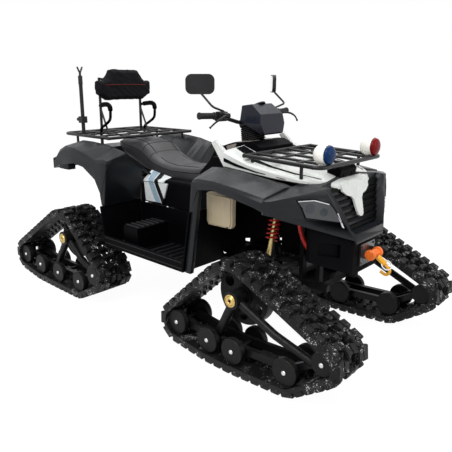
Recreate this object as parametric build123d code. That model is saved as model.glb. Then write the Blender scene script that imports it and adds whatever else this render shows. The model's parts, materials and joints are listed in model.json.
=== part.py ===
from build123d import *
import math
import os

# Quad bike on four rubber track units. Millimetres, +X forward, +Y left, +Z up,
# origin on the ground under the middle of the vehicle.

# Driving sizes of the track units
FRONT_AXLE_X = 800
REAR_AXLE_X = -750
AXLE_Z = 377
BELT_OUT_Y = 655
BELT_WIDTH = 255
BELT_THICK = 14
LUG_HEIGHT = 38
LUG_PITCH = 72
LUG_BASE = 34
LUG_TOP = 22
LUG_ROOT = 3
LUG_BAND = BELT_WIDTH / 3
SPROCKET_R = 158
ROLLER_R = 70
IDLER_R = 57
ROLLER_WIDTH = 35
ROLLER_EDGE = 18
ROLLER_FIT = 0.3
ROLLER_BOSS_R = 13
ROLLER_BOSS_LENGTH = 8
WHEEL_Z = 100
BELT_IN_Y = BELT_OUT_Y - BELT_WIDTH

# Heights are typed for the lowest wheels' centres at WHEEL_Z, then all is raised onto the lugs' tips
RISE = ROLLER_R + BELT_THICK + LUG_HEIGHT - WHEEL_Z

# Road wheels of one unit: distance ahead of the axle, height above the lowest wheels, radius
FRONT_WHEELS = [
    (-398, 31, ROLLER_R),
    (-165, 3, ROLLER_R),
    (8, 0, ROLLER_R),
    (335, 16, ROLLER_R),
    (531, 135, IDLER_R),
]
REAR_WHEELS = [
    (-564, 35, ROLLER_R),
    (-350, 3, ROLLER_R),
    (-103, 0, ROLLER_R),
    (158, 0, ROLLER_R),
    (340, 90, ROLLER_R),
]

# Frame of a track unit
OUTER_RAIL_Y = (BELT_OUT_Y - 95, BELT_OUT_Y - 65)
INNER_RAIL_Y = (BELT_IN_Y + 58, BELT_IN_Y + 82)
RAIL_HALF = 20
UNIT_AXLE_R = 12
STRUT_R = 25
LONG_STRUT_R = 21
HUB_R = 46
HUB_OUT_Y = 636
CAP_R = 33
CAP_BORE_R = 9
CAP_LENGTH = 11
SPROCKET_Y = (475, 535)
SPROCKET_HUB_R = 55
SPROCKET_HUB_Y = (441, 545)
SPROCKET_WINDOW_R = 30
SPROCKET_WINDOW_AT = 108
SPROCKET_WINDOWS = 6

# Front suspension and steering
KINGPIN_Y = 400
KNUCKLE_LUG_Z = (306, 448)
LUG_THICK = 16
KNUCKLE_HALF = 28
KNUCKLE_IN = 20
PIN_R = 9
PIN_FIT = 0.06
ARM_EYE_R = 19
ARM_GAP = 12
ARM_EYE_LENGTH = 20
PIN_REACH = 15
CV_BALL_R = 29
SHAFT_R = 14
STEER_ARM_TIP = (690, 372)
STEER_ARM_THICK = 12
TIE_ROD_R = 6.5
TIE_PIN_R = 5
TIE_EYE_R = 13
TIE_EYE_THICK = 18
TIE_ROD_IN = (551, 20)
PITMAN_Z = (396, 404)
PITMAN_GAP = 10
COLUMN_TOP_Z = 1196
COLUMN_FOOT_Z = 398
COLUMN_AT_Z = (430, 640)
COLUMN_LEAN = 260 / 750
COLUMN_R = 15
COLUMN_CLEAR = 8
BEARING_Z = (778, 830)
GEAR_Z = 413

# Chassis
RAIL_Y = 150
RAIL_SIZE = 36
RAIL_LOW_Z = 368
RAIL_TOP_Z = 760
FRAME_FRONT_X = 1060
FRAME_REAR_X = -930
HITCH_PIN_R = 8.5
HITCH_THICK = 10
HITCH_X = -990
HITCH_Z = 430

SHOCK_X = (FRONT_AXLE_X - 25, REAR_AXLE_X + 27)

# Bodywork
BODY_HALF = 573
SEAT_FOOT_Z = 800
PANEL = 12
BOARD_Z = 400
BOARD_X = (-330, 392)
BOARD_IN_Y = 255
STRIP_HIGH = 70
TUBE_R = 11
REAR_RACK_Z = 1057
BAR_RISE = 3


def block(x, y, z):
    """Box between three pairs of low and high values."""
    size = Box(x[1] - x[0], y[1] - y[0], z[1] - z[0])
    return Pos((x[0] + x[1]) / 2, (y[0] + y[1]) / 2, (z[0] + z[1]) / 2) * size


def side_plate(outline, low_y, high_y):
    """Outline of (x, z) points, solid from low_y to high_y."""
    face = Plane.XZ.offset(-high_y) * make_face(Polyline(*outline, close=True))
    return extrude(face, amount=high_y - low_y)


def plan_plate(outline, low_z, high_z):
    """Outline of (x, y) points, solid from low_z to high_z."""
    face = Plane.XY.offset(low_z) * make_face(Polyline(*outline, close=True))
    return extrude(face, amount=high_z - low_z)


def cross_plate(outline, low_x, high_x):
    """Outline of (y, z) points, solid from low_x to high_x."""
    face = Plane.YZ.offset(low_x) * make_face(Polyline(*outline, close=True))
    return extrude(face, amount=high_x - low_x)


def rod(start, end, radius):
    """Round bar between two points."""
    axis = Vector(*end) - Vector(*start)
    return extrude(Plane(origin=start, z_dir=axis) * Circle(radius), amount=axis.length)


def bent_rod(points, radius, bend):
    """Round bar along straight runs joined by arcs."""
    path = FilletPolyline(*points, radius=bend)
    return sweep(Plane(origin=path @ 0, z_dir=path % 0) * Circle(radius), path=path)


def fuse(pieces):
    """One shape from many."""
    return pieces[0].fuse(*pieces[1:]) if len(pieces) > 1 else pieces[0]


def mirrored(shape):
    """The same piece on the other side of the vehicle."""
    return mirror(shape, about=Plane.XZ)


def both_sides(shape):
    """A piece of the right side with its twin on the left."""
    return Compound(children=[*shape.solids(), *mirrored(shape).solids()])


def loft_sections(sections):
    """Body panel through a few flat outlines across the vehicle."""
    faces = [Plane.YZ.offset(x) * make_face(Polyline(*outline, close=True)) for x, outline in sections]
    return loft(Sketch() + faces, ruled=True)


def belt_outline(axle_x, wheels, spare):
    """Closed line round all wheels of a unit, spare outside their rims, in (x, z)."""
    rims = [Pos(axle_x, AXLE_Z) * Circle(SPROCKET_R + spare)]
    rims += [Pos(axle_x + dx, WHEEL_Z + dz) * Circle(radius + spare) for dx, dz, radius in wheels]
    return make_hull([rim.edges()[0] for rim in rims])


def belt_lugs(outline, phase):
    """Lugs on every second pitch of the belt, in (x, z)."""
    line = outline.face().outer_wire()
    middle = outline.face().center()
    count = 2 * round(line.length / LUG_PITCH / 2)
    lugs = []
    for i in range(phase, count, 2):
        foot = line.position_at(i / count)
        along = line.tangent_at(i / count)
        out = Vector(along.Y, -along.X, 0)
        if out.dot(foot - middle) < 0:
            out = -out
        corners = [
            foot - along * (LUG_BASE / 2) - out * LUG_ROOT,
            foot + along * (LUG_BASE / 2) - out * LUG_ROOT,
            foot + along * (LUG_TOP / 2) + out * LUG_HEIGHT,
            foot - along * (LUG_TOP / 2) + out * LUG_HEIGHT,
        ]
        lugs.append(make_face(Polyline(*[(c.X, c.Y) for c in corners], close=True)))
    return lugs


def make_belt(axle_x, wheels):
    """Endless belt on the right side: outer bands and middle band carry lugs in turn."""
    outer = belt_outline(axle_x, wheels, BELT_THICK)
    inner = belt_outline(axle_x, wheels, 0)
    ring = outer - inner
    bands = [
        (-BELT_OUT_Y, -BELT_OUT_Y + LUG_BAND, 0),
        (-BELT_OUT_Y + LUG_BAND, -BELT_IN_Y - LUG_BAND, 1),
        (-BELT_IN_Y - LUG_BAND, -BELT_IN_Y, 0),
    ]
    strips = []
    for low_y, high_y, phase in bands:
        profile = ring + belt_lugs(outer, phase)
        strips.append(extrude(Plane.XZ.offset(-high_y) * profile, amount=high_y - low_y))
    return fuse(strips)


def make_wheels(axle_x, wheels):
    """Pairs of road wheels under the belt's two edges."""
    spans = [
        (-BELT_OUT_Y + ROLLER_EDGE, -BELT_OUT_Y + ROLLER_EDGE + ROLLER_WIDTH),
        (-BELT_IN_Y - ROLLER_EDGE - ROLLER_WIDTH, -BELT_IN_Y - ROLLER_EDGE),
    ]
    pieces = []
    for dx, dz, radius in wheels:
        x, z = axle_x + dx, WHEEL_Z + dz
        for low_y, high_y in spans:
            pieces.append(rod((x, low_y, z), (x, high_y, z), radius - ROLLER_FIT))
        low_y = spans[0][0]
        boss = rod((x, low_y - ROLLER_BOSS_LENGTH, z), (x, low_y, z), ROLLER_BOSS_R)
        pieces[-2] = pieces[-2] + boss
    return Compound(children=[solid for piece in pieces for solid in piece.solids()])


def rail_outline(axle_x, wheels):
    """Bar through the wheel centres of a unit, in (x, z)."""
    centres = [(axle_x + dx, WHEEL_Z + dz) for dx, dz, radius in wheels]
    upper = [(x, z + RAIL_HALF) for x, z in centres]
    lower = [(x, z - RAIL_HALF) for x, z in centres]
    return upper + lower[::-1]


def make_track_frame(axle_x, wheels, short_foot, long_foot, long_knee):
    """Rails, wheel axles, hub and the two struts that carry the hub."""
    outline = rail_outline(axle_x, wheels)
    pieces = [
        side_plate(outline, -OUTER_RAIL_Y[1], -OUTER_RAIL_Y[0]),
        side_plate(outline, -INNER_RAIL_Y[1], -INNER_RAIL_Y[0]),
    ]
    axle_out = -BELT_OUT_Y + ROLLER_EDGE + ROLLER_WIDTH
    axle_in = -BELT_IN_Y - ROLLER_EDGE - ROLLER_WIDTH
    for dx, dz, radius in wheels:
        x, z = axle_x + dx, WHEEL_Z + dz
        pieces.append(rod((x, axle_out, z), (x, axle_in, z), UNIT_AXLE_R))
    hub = rod((axle_x, -HUB_OUT_Y, AXLE_Z), (axle_x, -SPROCKET_HUB_Y[1], AXLE_Z), HUB_R)
    rail_y = -sum(OUTER_RAIL_Y) / 2
    strut_y = -HUB_OUT_Y + LONG_STRUT_R + 18
    short_end = (axle_x + short_foot[0], rail_y + 6, WHEEL_Z + short_foot[1])
    pieces.append(rod((axle_x, strut_y, AXLE_Z), short_end, STRUT_R))
    long_points = [
        (axle_x, strut_y, AXLE_Z),
        (axle_x + long_knee[0], strut_y, WHEEL_Z + long_knee[1]),
        (axle_x + long_foot[0], rail_y, WHEEL_Z + long_foot[1]),
    ]
    pieces.append(bent_rod(long_points, LONG_STRUT_R, 180))
    pieces.append(hub)
    return fuse(pieces)


def make_sprocket(axle_x):
    """Drive wheel with round windows, its hub and the hub cap's seat."""
    disc = rod((axle_x, -SPROCKET_Y[1], AXLE_Z), (axle_x, -SPROCKET_Y[0], AXLE_Z), SPROCKET_R - ROLLER_FIT)
    for i in range(SPROCKET_WINDOWS):
        angle = math.radians(360 * (i + 0.5) / SPROCKET_WINDOWS)
        x = axle_x + SPROCKET_WINDOW_AT * math.cos(angle)
        z = AXLE_Z + SPROCKET_WINDOW_AT * math.sin(angle)
        disc -= rod((x, -SPROCKET_Y[1] - 1, z), (x, -SPROCKET_Y[0] + 1, z), SPROCKET_WINDOW_R)
    hub = rod((axle_x, -SPROCKET_HUB_Y[1], AXLE_Z), (axle_x, -SPROCKET_HUB_Y[0], AXLE_Z), SPROCKET_HUB_R)
    return disc + hub


def make_hub_cap(axle_x):
    """Domed cap on the outer end of the hub."""
    cap = rod((axle_x, -HUB_OUT_Y - CAP_LENGTH, AXLE_Z), (axle_x, -HUB_OUT_Y, AXLE_Z), CAP_R)
    return cap - rod((axle_x, -HUB_OUT_Y - CAP_LENGTH, AXLE_Z), (axle_x, -HUB_OUT_Y - 3, AXLE_Z), CAP_BORE_R)


def make_knuckle():
    """Fork that carries the hub of the right front unit, with its steering arm."""
    x, y = FRONT_AXLE_X, -KINGPIN_Y
    low, high = KNUCKLE_LUG_Z
    across = (-SPROCKET_HUB_Y[0], y + KNUCKLE_IN)
    fork = block((x - KNUCKLE_HALF, x + KNUCKLE_HALF), across, (low, high))
    fork -= block(
        (x - KNUCKLE_HALF - 1, x + KNUCKLE_HALF + 1),
        (-SPROCKET_HUB_Y[0] + 7, y + KNUCKLE_IN + 1),
        (low + LUG_THICK, high - LUG_THICK),
    )
    pins = [
        rod((x, y, low - PIN_REACH - ARM_GAP), (x, y, low), PIN_R),
        rod((x, y, high), (x, y, high + PIN_REACH + ARM_GAP), PIN_R),
    ]
    tip_x, tip_y = STEER_ARM_TIP
    arm = plan_plate(
        [
            (x - KNUCKLE_HALF, -436),
            (x - KNUCKLE_HALF, -400),
            (tip_x - 12, -tip_y + 12),
            (tip_x - 12, -tip_y - 14),
        ],
        high - STEER_ARM_THICK,
        high,
    )
    pin = rod((tip_x, -tip_y, high), (tip_x, -tip_y, high + TIE_EYE_THICK - 2), TIE_PIN_R)
    return fuse([fork, *pins, arm, pin])


def make_arms():
    """Upper and lower suspension arms of the right side, front and rear."""
    low, high = KNUCKLE_LUG_Z
    low_eye = (low - ARM_GAP - ARM_EYE_LENGTH, low - ARM_GAP)
    high_eye = (high + ARM_GAP, high + ARM_GAP + ARM_EYE_LENGTH)
    mount_y = -RAIL_Y - RAIL_SIZE / 2
    arms = []
    for span, foot_z, (eye_low, eye_high), radius in (
        (95, RAIL_LOW_Z, low_eye, 12),
        (70, 470, high_eye, 12),
    ):
        x, y = FRONT_AXLE_X, -KINGPIN_Y
        eye = rod((x, y, eye_low), (x, y, eye_high), ARM_EYE_R)
        tip = (x, y + ARM_EYE_R / 2, (eye_low + eye_high) / 2)
        legs = [rod((x + side * span, mount_y, foot_z), tip, radius) for side in (-1, 1)]
        arm = fuse([eye, *legs])
        arm -= rod((x, y, eye_low - ARM_GAP + 1), (x, y, eye_high + ARM_GAP - 1), PIN_R + PIN_FIT)
        arms.append(arm)
    return arms


def make_rear_arms():
    """Rear suspension arms and the fixed carrier that holds the rear hub."""
    x = REAR_AXLE_X
    mount_y = -RAIL_Y - RAIL_SIZE / 2
    carrier = block((x - 28, x + 28), (-SPROCKET_HUB_Y[0], -392), (290, 465))
    pieces = [carrier]
    for span, foot_z, tip_z, radius in ((95, RAIL_LOW_Z, 310, 15), (70, 470, 448, 12)):
        tip = (x, -400, tip_z)
        pieces += [rod((x + side * span, mount_y, foot_z), tip, radius) for side in (-1, 1)]
    return fuse(pieces)


def make_frame():
    """Lower and upper rails with cross members, uprights and hitch."""
    half = RAIL_SIZE / 2
    pieces = []
    for side in (-1, 1):
        y = (side * RAIL_Y - half, side * RAIL_Y + half)
        pieces.append(block((FRAME_REAR_X, FRAME_FRONT_X), y, (RAIL_LOW_Z - half, RAIL_LOW_Z + half)))
        pieces.append(block((FRAME_REAR_X, FRAME_FRONT_X - 40), y, (RAIL_TOP_Z - half, RAIL_TOP_Z + half)))
        for x in (FRAME_REAR_X, REAR_AXLE_X - 95, REAR_AXLE_X + 95, FRONT_AXLE_X - 95, FRONT_AXLE_X + 95, 1000):
            pieces.append(block((x - half * 0.7, x + half * 0.7), y, (RAIL_LOW_Z, RAIL_TOP_Z)))
        for axle in (REAR_AXLE_X, FRONT_AXLE_X):
            pieces.append(block((axle - 95, axle + 95), y, (455, 485)))
        for x in (-900, -780):
            pieces.append(block((x - 12, x + 12), y, (RAIL_TOP_Z + half, 955)))
        for x in (-100, 100):
            pieces.append(block((x - 20, x + 20), y, (RAIL_TOP_Z + half, SEAT_FOOT_Z - 0.3)))
        for x in (-250, 300):
            low, high = sorted((side * RAIL_Y, side * 500))
            pieces.append(block((x - half, x + half), (low, high), (RAIL_LOW_Z, BOARD_Z)))
        for x in SHOCK_X:
            low, high = sorted((side * RAIL_Y, side * 235))
            pieces.append(block((x - 22, x + 22), (low, high), (RAIL_TOP_Z - 3, RAIL_TOP_Z + 33)))
    for x in (FRAME_REAR_X, -560, -60, 180, 320, 640, 1000):
        pieces.append(block((x - half, x + half), (-RAIL_Y, RAIL_Y), (RAIL_LOW_Z - half, RAIL_LOW_Z + half)))
    for x in (FRAME_REAR_X, -560, 1000):
        pieces.append(block((x - half, x + half), (-RAIL_Y, RAIL_Y), (RAIL_TOP_Z - half, RAIL_TOP_Z + half)))
    bearing = block((430, 542), (-RAIL_Y - half, RAIL_Y + half), BEARING_Z)
    pieces.append(bearing - rod(column_at(700), column_at(900), COLUMN_R + PIN_FIT))
    for side in (-1, 1):
        pieces.append(block((1000, 1152), (side * RAIL_Y - half, side * RAIL_Y + half), (545, 581)))
    hitch_z = (HITCH_Z - HITCH_THICK / 2, HITCH_Z + HITCH_THICK / 2)
    hitch = block((HITCH_X - 30, FRAME_REAR_X), (-30, 30), hitch_z)
    post = block((FRAME_REAR_X - half, FRAME_REAR_X + half), (-30, 30), (RAIL_LOW_Z, HITCH_Z + 30))
    pieces += [hitch, post]
    frame = fuse(pieces)
    return frame - rod((HITCH_X, 0, HITCH_Z - 20), (HITCH_X, 0, HITCH_Z + 20), HITCH_PIN_R)


def make_shafts():
    """Half shafts from the middle of the vehicle out to the hubs, right side."""
    front = rod((FRONT_AXLE_X, -RAIL_Y + 22, GEAR_Z), (FRONT_AXLE_X, -KINGPIN_Y, AXLE_Z), SHAFT_R)
    ball = Pos(FRONT_AXLE_X, -KINGPIN_Y, AXLE_Z) * Sphere(CV_BALL_R)
    rear = rod((REAR_AXLE_X, -RAIL_Y + 22, GEAR_Z), (REAR_AXLE_X, -392, AXLE_Z), SHAFT_R)
    return [front + ball, rear]


def make_housings():
    """Front and rear gear housings on the middle line."""
    half = RAIL_Y - RAIL_SIZE / 2
    front = rod((FRONT_AXLE_X, -half, GEAR_Z), (FRONT_AXLE_X, half, GEAR_Z), 60)
    rear = rod((REAR_AXLE_X, -half, GEAR_Z), (REAR_AXLE_X, half, GEAR_Z), 62)
    return [front, rear]


def make_shock(low, high):
    """Damper and coil of one shock absorber, as two solids."""
    start, end = Vector(*low), Vector(*high)
    way = (end - start).normalized()
    coil_start = start + way * 105
    coil_end = end - way * 20
    damper = rod(low, tuple(coil_start), 14) + rod(tuple(coil_start), tuple(coil_end), 12)
    damper += rod(tuple(coil_end), high, 26)
    damper += rod((low[0], low[1] - 14, low[2]), (low[0], low[1] + 14, low[2]), 18)
    spring = rod(tuple(coil_start + way), tuple(coil_end - way), 34) - rod(low, high, 12.5)
    return damper, spring


def shock_points():
    """Lower and upper ends of the right shocks."""
    return [
        ((SHOCK_X[0], -310, 498), (SHOCK_X[0], -235, 775)),
        ((SHOCK_X[1], -310, 484), (SHOCK_X[1], -235, 775)),
    ]


def make_footwells():
    """Foot board, outer strip, inner wall, front and rear walls of the right side."""
    front_lean = [(BOARD_X[1], BOARD_Z), (452, 754), (452 - PANEL, 754), (BOARD_X[1] - PANEL, BOARD_Z)]
    rear_lean = [(BOARD_X[0], BOARD_Z), (-365, 655), (-365 - PANEL, 655), (BOARD_X[0] - PANEL, BOARD_Z)]
    board = block((BOARD_X[0] - PANEL, BOARD_X[1]), (-BODY_HALF, -BOARD_IN_Y), (BOARD_Z, BOARD_Z + PANEL))
    strip_z = (BOARD_Z, BOARD_Z + STRIP_HIGH)
    strip = block((BOARD_X[0] - PANEL, BOARD_X[1]), (-BODY_HALF, -BODY_HALF + PANEL), strip_z)
    front = side_plate(front_lean, -BODY_HALF, -BOARD_IN_Y + PANEL)
    rear = side_plate(rear_lean, -BODY_HALF, -BOARD_IN_Y + PANEL)
    wall_line = [(BOARD_X[0] - 6, BOARD_Z), (BOARD_X[1] - 6, BOARD_Z), (426, 640), (-369, 640)]
    wall = side_plate(wall_line, -BOARD_IN_Y, -BOARD_IN_Y + PANEL)
    heel = block((-215, -75), (-BODY_HALF + 60, -BOARD_IN_Y), (BOARD_Z + PANEL, 550))
    return fuse([board, strip, front, rear, wall, heel])


# Front fender: place, inner edge y and z, ridge y and z, outer shoulder y and z, lower lip z
FRONT_FENDER = [
    (452, 340, 970, 398, 977, BODY_HALF - 17, 930, 775),
    (500, 340, 970, 398, 979, BODY_HALF - 11, 938, 880),
    (610, 340, 965, 398, 975, BODY_HALF - 4, 940, 896),
    (745, 340, 950, 398, 962, BODY_HALF, 928, 875),
    (880, 330, 932, 398, 940, BODY_HALF, 910, 853),
    (935, 330, 922, 398, 930, BODY_HALF, 902, 838),
]

# Rear fender: the same columns
REAR_FENDER = [
    (-935, 190, 930, 400, 955, BODY_HALF - 25, 905, 836),
    (-860, 190, 952, 400, 1006, BODY_HALF - 20, 972, 866),
    (-781, 190, 975, 400, 1030, BODY_HALF - 17, 1004, 880),
    (-667, 190, 940, 400, 1030, BODY_HALF - 13, 996, 898),
    (-560, 190, 890, 400, 1024, BODY_HALF - 13, 975, 885),
    (-434, 190, 845, 400, 1012, BODY_HALF - 13, 940, 818),
    (-380, 190, 830, 400, 1000, BODY_HALF - 17, 950, 720),
    (-306, 190, 822, 400, 984, BODY_HALF - 17, 945, 900),
]

# Hood: place, half width, lower edge, shoulder, top
HOOD = [
    (470, 326, 968, 1060, 1075),
    (640, 330, 955, 1008, 1018),
    (800, 325, 942, 985, 1000),
    (950, 300, 932, 962, 982),
    (1030, 240, 922, 950, 962),
    (1085, 160, 905, 930, 938),
]
HOOD_FLAT = 0.5

# Slanted nose faces run from the fender's front corner to the flat front
NOSE_CORNER = (971, -BODY_HALF)
NOSE_TIP = (1198, -144)
NOSE_REAR_X = 935
NOSE_HOLLOW = [(900, 33 - BODY_HALF), (955, 33 - BODY_HALF), (1040, 193 - BODY_HALF)]
NOSE_ROOF = (893, 973)
NOSE_LEAN = [(1110, 930), (1198.5, 700), (1300, 700), (1300, 1001), (1083, 1001)]
CHIN = [(-250, 560), (-250, 870), (0, 824), (487, 655), (487, 560)]
HEADLIGHT = [(138, 893), (238, 892), (323, 865), (353, 828), (393, 760), (191, 800), (169, 853)]
HEADLIGHT_DEPTH = 40
HEADLIGHT_PROUD = 4
GRILLE_SIDE = [(285, 1000), (276, 917), (233, 850), (204, 783), (175, 715), (150, 695)]
GRILLE_FLOOR_X = 1060
GRILLE_FLOOR_Z = 940
GRILLE_LEAN = 0.306
SLAT_HEIGHT = 14
SLAT_DEPTH = 12
SLAT_PITCH = 32
SLATS = 7
NOSE_PANEL = [(0, 936), (158, 936), (160, 872), (95, 846), (38, 838), (30, 775), (12, 748), (0, 748)]
NOSE_PANEL_THICK = 12


def fender_section(in_y, in_z, ridge_y, ridge_z, out_y, shoulder_z, lip_z):
    """Outline of one cut through a right fender, in (y, z)."""
    return [
        (-in_y, in_z),
        (-ridge_y, ridge_z),
        (-out_y + 14, shoulder_z),
        (-out_y, shoulder_z - 20),
        (-out_y, lip_z),
        (-out_y + PANEL, lip_z),
        (-out_y + PANEL, shoulder_z - 26),
        (-out_y + 20, shoulder_z - 14),
        (-ridge_y, ridge_z - PANEL),
        (-in_y, in_z - PANEL),
    ]


def make_front_fender():
    """Right front fender: arched roof with its leg down to the foot board."""
    roof = loft_sections([(row[0], fender_section(*row[1:])) for row in FRONT_FENDER])
    leg = side_plate(
        [(404, BOARD_Z + 78), (450, BOARD_Z + 78), (506, 870), (506, 915), (452, 915)],
        -BODY_HALF + 17,
        -BODY_HALF + 43,
    )
    lower = side_plate(
        [(BOARD_X[1] + 1, BOARD_Z), (BOARD_X[1] + 42, BOARD_Z), (450, BOARD_Z + 78), (404, BOARD_Z + 78)],
        -BODY_HALF + 17,
        -BODY_HALF + 43,
    )
    return fuse([roof, leg, lower])


def make_rear_fender():
    """Right rear fender with its front apron."""
    roof = loft_sections([(row[0], fender_section(*row[1:])) for row in REAR_FENDER])
    apron = side_plate([(-314, 985), (-300, 985), (-353, 656), (-367, 656)], 19 - BODY_HALF, -262)
    edge = 19 - BODY_HALF
    apron_line = [(-262, 650), (-262, 876), (-400, 980), (edge + 12, 942), (edge, 922), (edge, 650)]
    apron &= cross_plate(apron_line, -420, -280)
    cheek = side_plate([(-392, 930), (-306, 924), (-350, 656), (-380, 656), (-392, 715)], edge + 1, edge + 8)
    box = block((-872, -760), (28 - BODY_HALF, 83 - BODY_HALF), (842, 930))
    return fuse([roof, apron, cheek, box])


def symmetric(outline):
    """Closed outline from its half with positive first values."""
    return outline + [(-y, z) for y, z in outline[::-1] if y > 0]


def slanted(outline, low, high):
    """Outline of (along, z) on the right slanted nose face, solid from low to high along its normal."""
    along = Vector(NOSE_TIP[0] - NOSE_CORNER[0], NOSE_TIP[1] - NOSE_CORNER[1], 0).normalized()
    face_plane = Plane(origin=(*NOSE_CORNER, 0), x_dir=along, z_dir=(-along.cross(Vector(0, 0, -1))))
    face = face_plane.offset(low) * make_face(Polyline(*outline, close=True))
    return extrude(face, amount=high - low)


def make_hood():
    """Front hood with its two side blades."""
    sections = []
    for x, half, low, shoulder, top in HOOD:
        flat = half * HOOD_FLAT
        outline = symmetric(
            [(half - 14, low), (half, low + 8), (half, shoulder - 10), (half - 12, shoulder), (flat, top)]
        )
        sections.append((x, outline))
    hood = loft_sections(sections)
    blade = side_plate([(376, 1096), (402, 1112), (470, 1058), (470, 968), (440, 1010)], -324, -302)
    return fuse([hood, blade, mirrored(blade)])


def grille_floor(z):
    """How far forward the leaning floor of the grille opening is at a height."""
    return GRILLE_FLOOR_X + (GRILLE_FLOOR_Z - z) * GRILLE_LEAN


def lean_slab(low, high, near, far, half):
    """Slab in front of the grille floor, between two heights and two distances."""
    outline = [
        (grille_floor(high) + near, high),
        (grille_floor(low) + near, low),
        (grille_floor(low) + far, low),
        (grille_floor(high) + far, high),
    ]
    return side_plate(outline, -half, half)


def make_fascia():
    """Nose shell with chin, pillars, headlight pockets and grille opening."""
    (corner_x, corner_y), (tip_x, tip_y) = NOSE_CORNER, NOSE_TIP
    plan = [(NOSE_REAR_X, corner_y), (corner_x, corner_y), (tip_x, tip_y)]
    plan += [(x, -y) for x, y in plan[::-1]]
    nose = plan_plate(plan, 640, 1000)
    roof_line = symmetric([(0, NOSE_ROOF[1]), (-corner_y + 1, NOSE_ROOF[0]), (-corner_y + 1, 1001)])
    nose -= cross_plate(roof_line, 900, 1250)
    hollow_line = NOSE_HOLLOW + [(x, -y) for x, y in NOSE_HOLLOW[::-1]]
    hollow = plan_plate(hollow_line, 600, 1001)
    hollow -= cross_plate(
        symmetric([(0, NOSE_ROOF[1] - 14), (-corner_y + 1, NOSE_ROOF[0] - 14), (-corner_y + 1, 1002)]), 899, 1251
    )
    nose -= hollow
    lean = side_plate(NOSE_LEAN, -BODY_HALF, BODY_HALF)
    chin = slanted(CHIN, -420, 60)
    pocket = slanted(HEADLIGHT, -HEADLIGHT_DEPTH, 60)
    mouth = cross_plate(symmetric(GRILLE_SIDE), 1000, 1300) & lean_slab(694, 1001, 0, 400, 400)
    for cut in (lean, chin, mirrored(chin), pocket, mirrored(pocket), mouth):
        nose -= cut
    return nose


def make_headlight():
    """Right headlight lens block in its pocket."""
    return slanted(HEADLIGHT, -HEADLIGHT_DEPTH, HEADLIGHT_PROUD)


def make_grille():
    """Slats across the grille opening."""
    mouth = cross_plate(symmetric(GRILLE_SIDE), 1000, 1300)
    slats = []
    for i in range(SLATS):
        low = GRILLE_SIDE[-1][1] + 8 + i * SLAT_PITCH
        slats.append(lean_slab(low, low + SLAT_HEIGHT, 0, SLAT_DEPTH, 400) & mouth)
    return Compound(children=[s for slat in slats for s in slat.solids()])


def make_nose_panel():
    """T-shaped centre panel in front of the slats."""
    plate = cross_plate(symmetric(NOSE_PANEL), 1000, 1300)
    return plate & lean_slab(700, 940, SLAT_DEPTH, SLAT_DEPTH + NOSE_PANEL_THICK, 400)


def make_lower_bumper():
    """Wall under the chin with a sunk rectangle on each slanted side."""
    corner = BODY_HALF - 149
    outer = [(1025, -corner), (1180, -131), (1180, 131), (1025, corner)]
    inner = [(995, 10 - corner), (1152, -118), (1152, 118), (995, corner - 10)]
    wall = plan_plate(outer + inner[::-1], 470, 760)
    cut = slanted([(-200, 400), (-200, 640), (150, 600), (470, 478), (470, 400)], -300, 60)
    sunk = slanted([(285, 600), (410, 570), (410, 640), (285, 665)], -38, 60)
    mouth = block((900, 1300), (-230, 230), (690, 800)) + block((900, 1300), (-150, 150), (655, 800))
    for piece in (cut, mirrored(cut), sunk, mirrored(sunk), mouth):
        wall -= piece
    return wall


def column_at(z):
    """Point of the steering column's line at a height."""
    return (COLUMN_AT_Z[1] - (z - COLUMN_AT_Z[0]) * COLUMN_LEAN, 0, z)


def make_console():
    """Cover between hood and seat, with the side covers of the engine bay."""
    top = side_plate(
        [(196, 830), (196, 955), (250, 1040), (390, 1085), (520, 1098), (588, 1070), (588, 985), (420, 830)],
        -155,
        155,
    )
    shoulder = side_plate([(196, 830), (196, 900), (300, 1000), (469, 1010), (469, 830)], -235, 235)
    cover_line = [(-340, 640), (-340, 780), (-60, 797), (196, 797), (196, 830)]
    cover_line += [(469, 830), (452, 754), (440, 640)]
    cover = side_plate(cover_line, -235, -205)
    body = fuse([top, shoulder, cover, mirrored(cover)])
    return body - rod(column_at(700), column_at(1200), COLUMN_R + COLUMN_CLEAR)


def make_side_panel():
    """Light panel on the right engine cover."""
    return side_plate([(-310, 650), (-325, 775), (-90, 790), (-140, 655)], -247, -235)


def make_seat():
    """Stepped saddle."""
    outline = [
        (-745, 1002),
        (-700, 1030),
        (-560, 1035),
        (-430, 1012),
        (-340, 935),
        (-150, 888),
        (60, 898),
        (178, 945),
        (195.7, 930),
        (195.7, 830),
        (140, SEAT_FOOT_Z),
        (-140, SEAT_FOOT_Z),
        (-406, 838),
        (-590, 905),
        (-735, 985),
    ]
    return side_plate(outline, -165, 165)


def rack_loop(rear_x, front_x, half, rear_z, front_z, bend, reach):
    """Outer tube of a rack, closed by a straight bar at the end near the seat."""
    near, far = (rear_x, front_x) if rear_x > 0 else (front_x, rear_x)
    near_z, far_z = (rear_z, front_z) if rear_x > 0 else (front_z, rear_z)
    loop = bent_rod(
        [(near, -half, near_z), (far, -half, far_z), (far, half, far_z), (near, half, near_z)], TUBE_R, bend
    )
    return [loop, rod((near, -reach, near_z), (near, reach, near_z), TUBE_R)]


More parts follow.
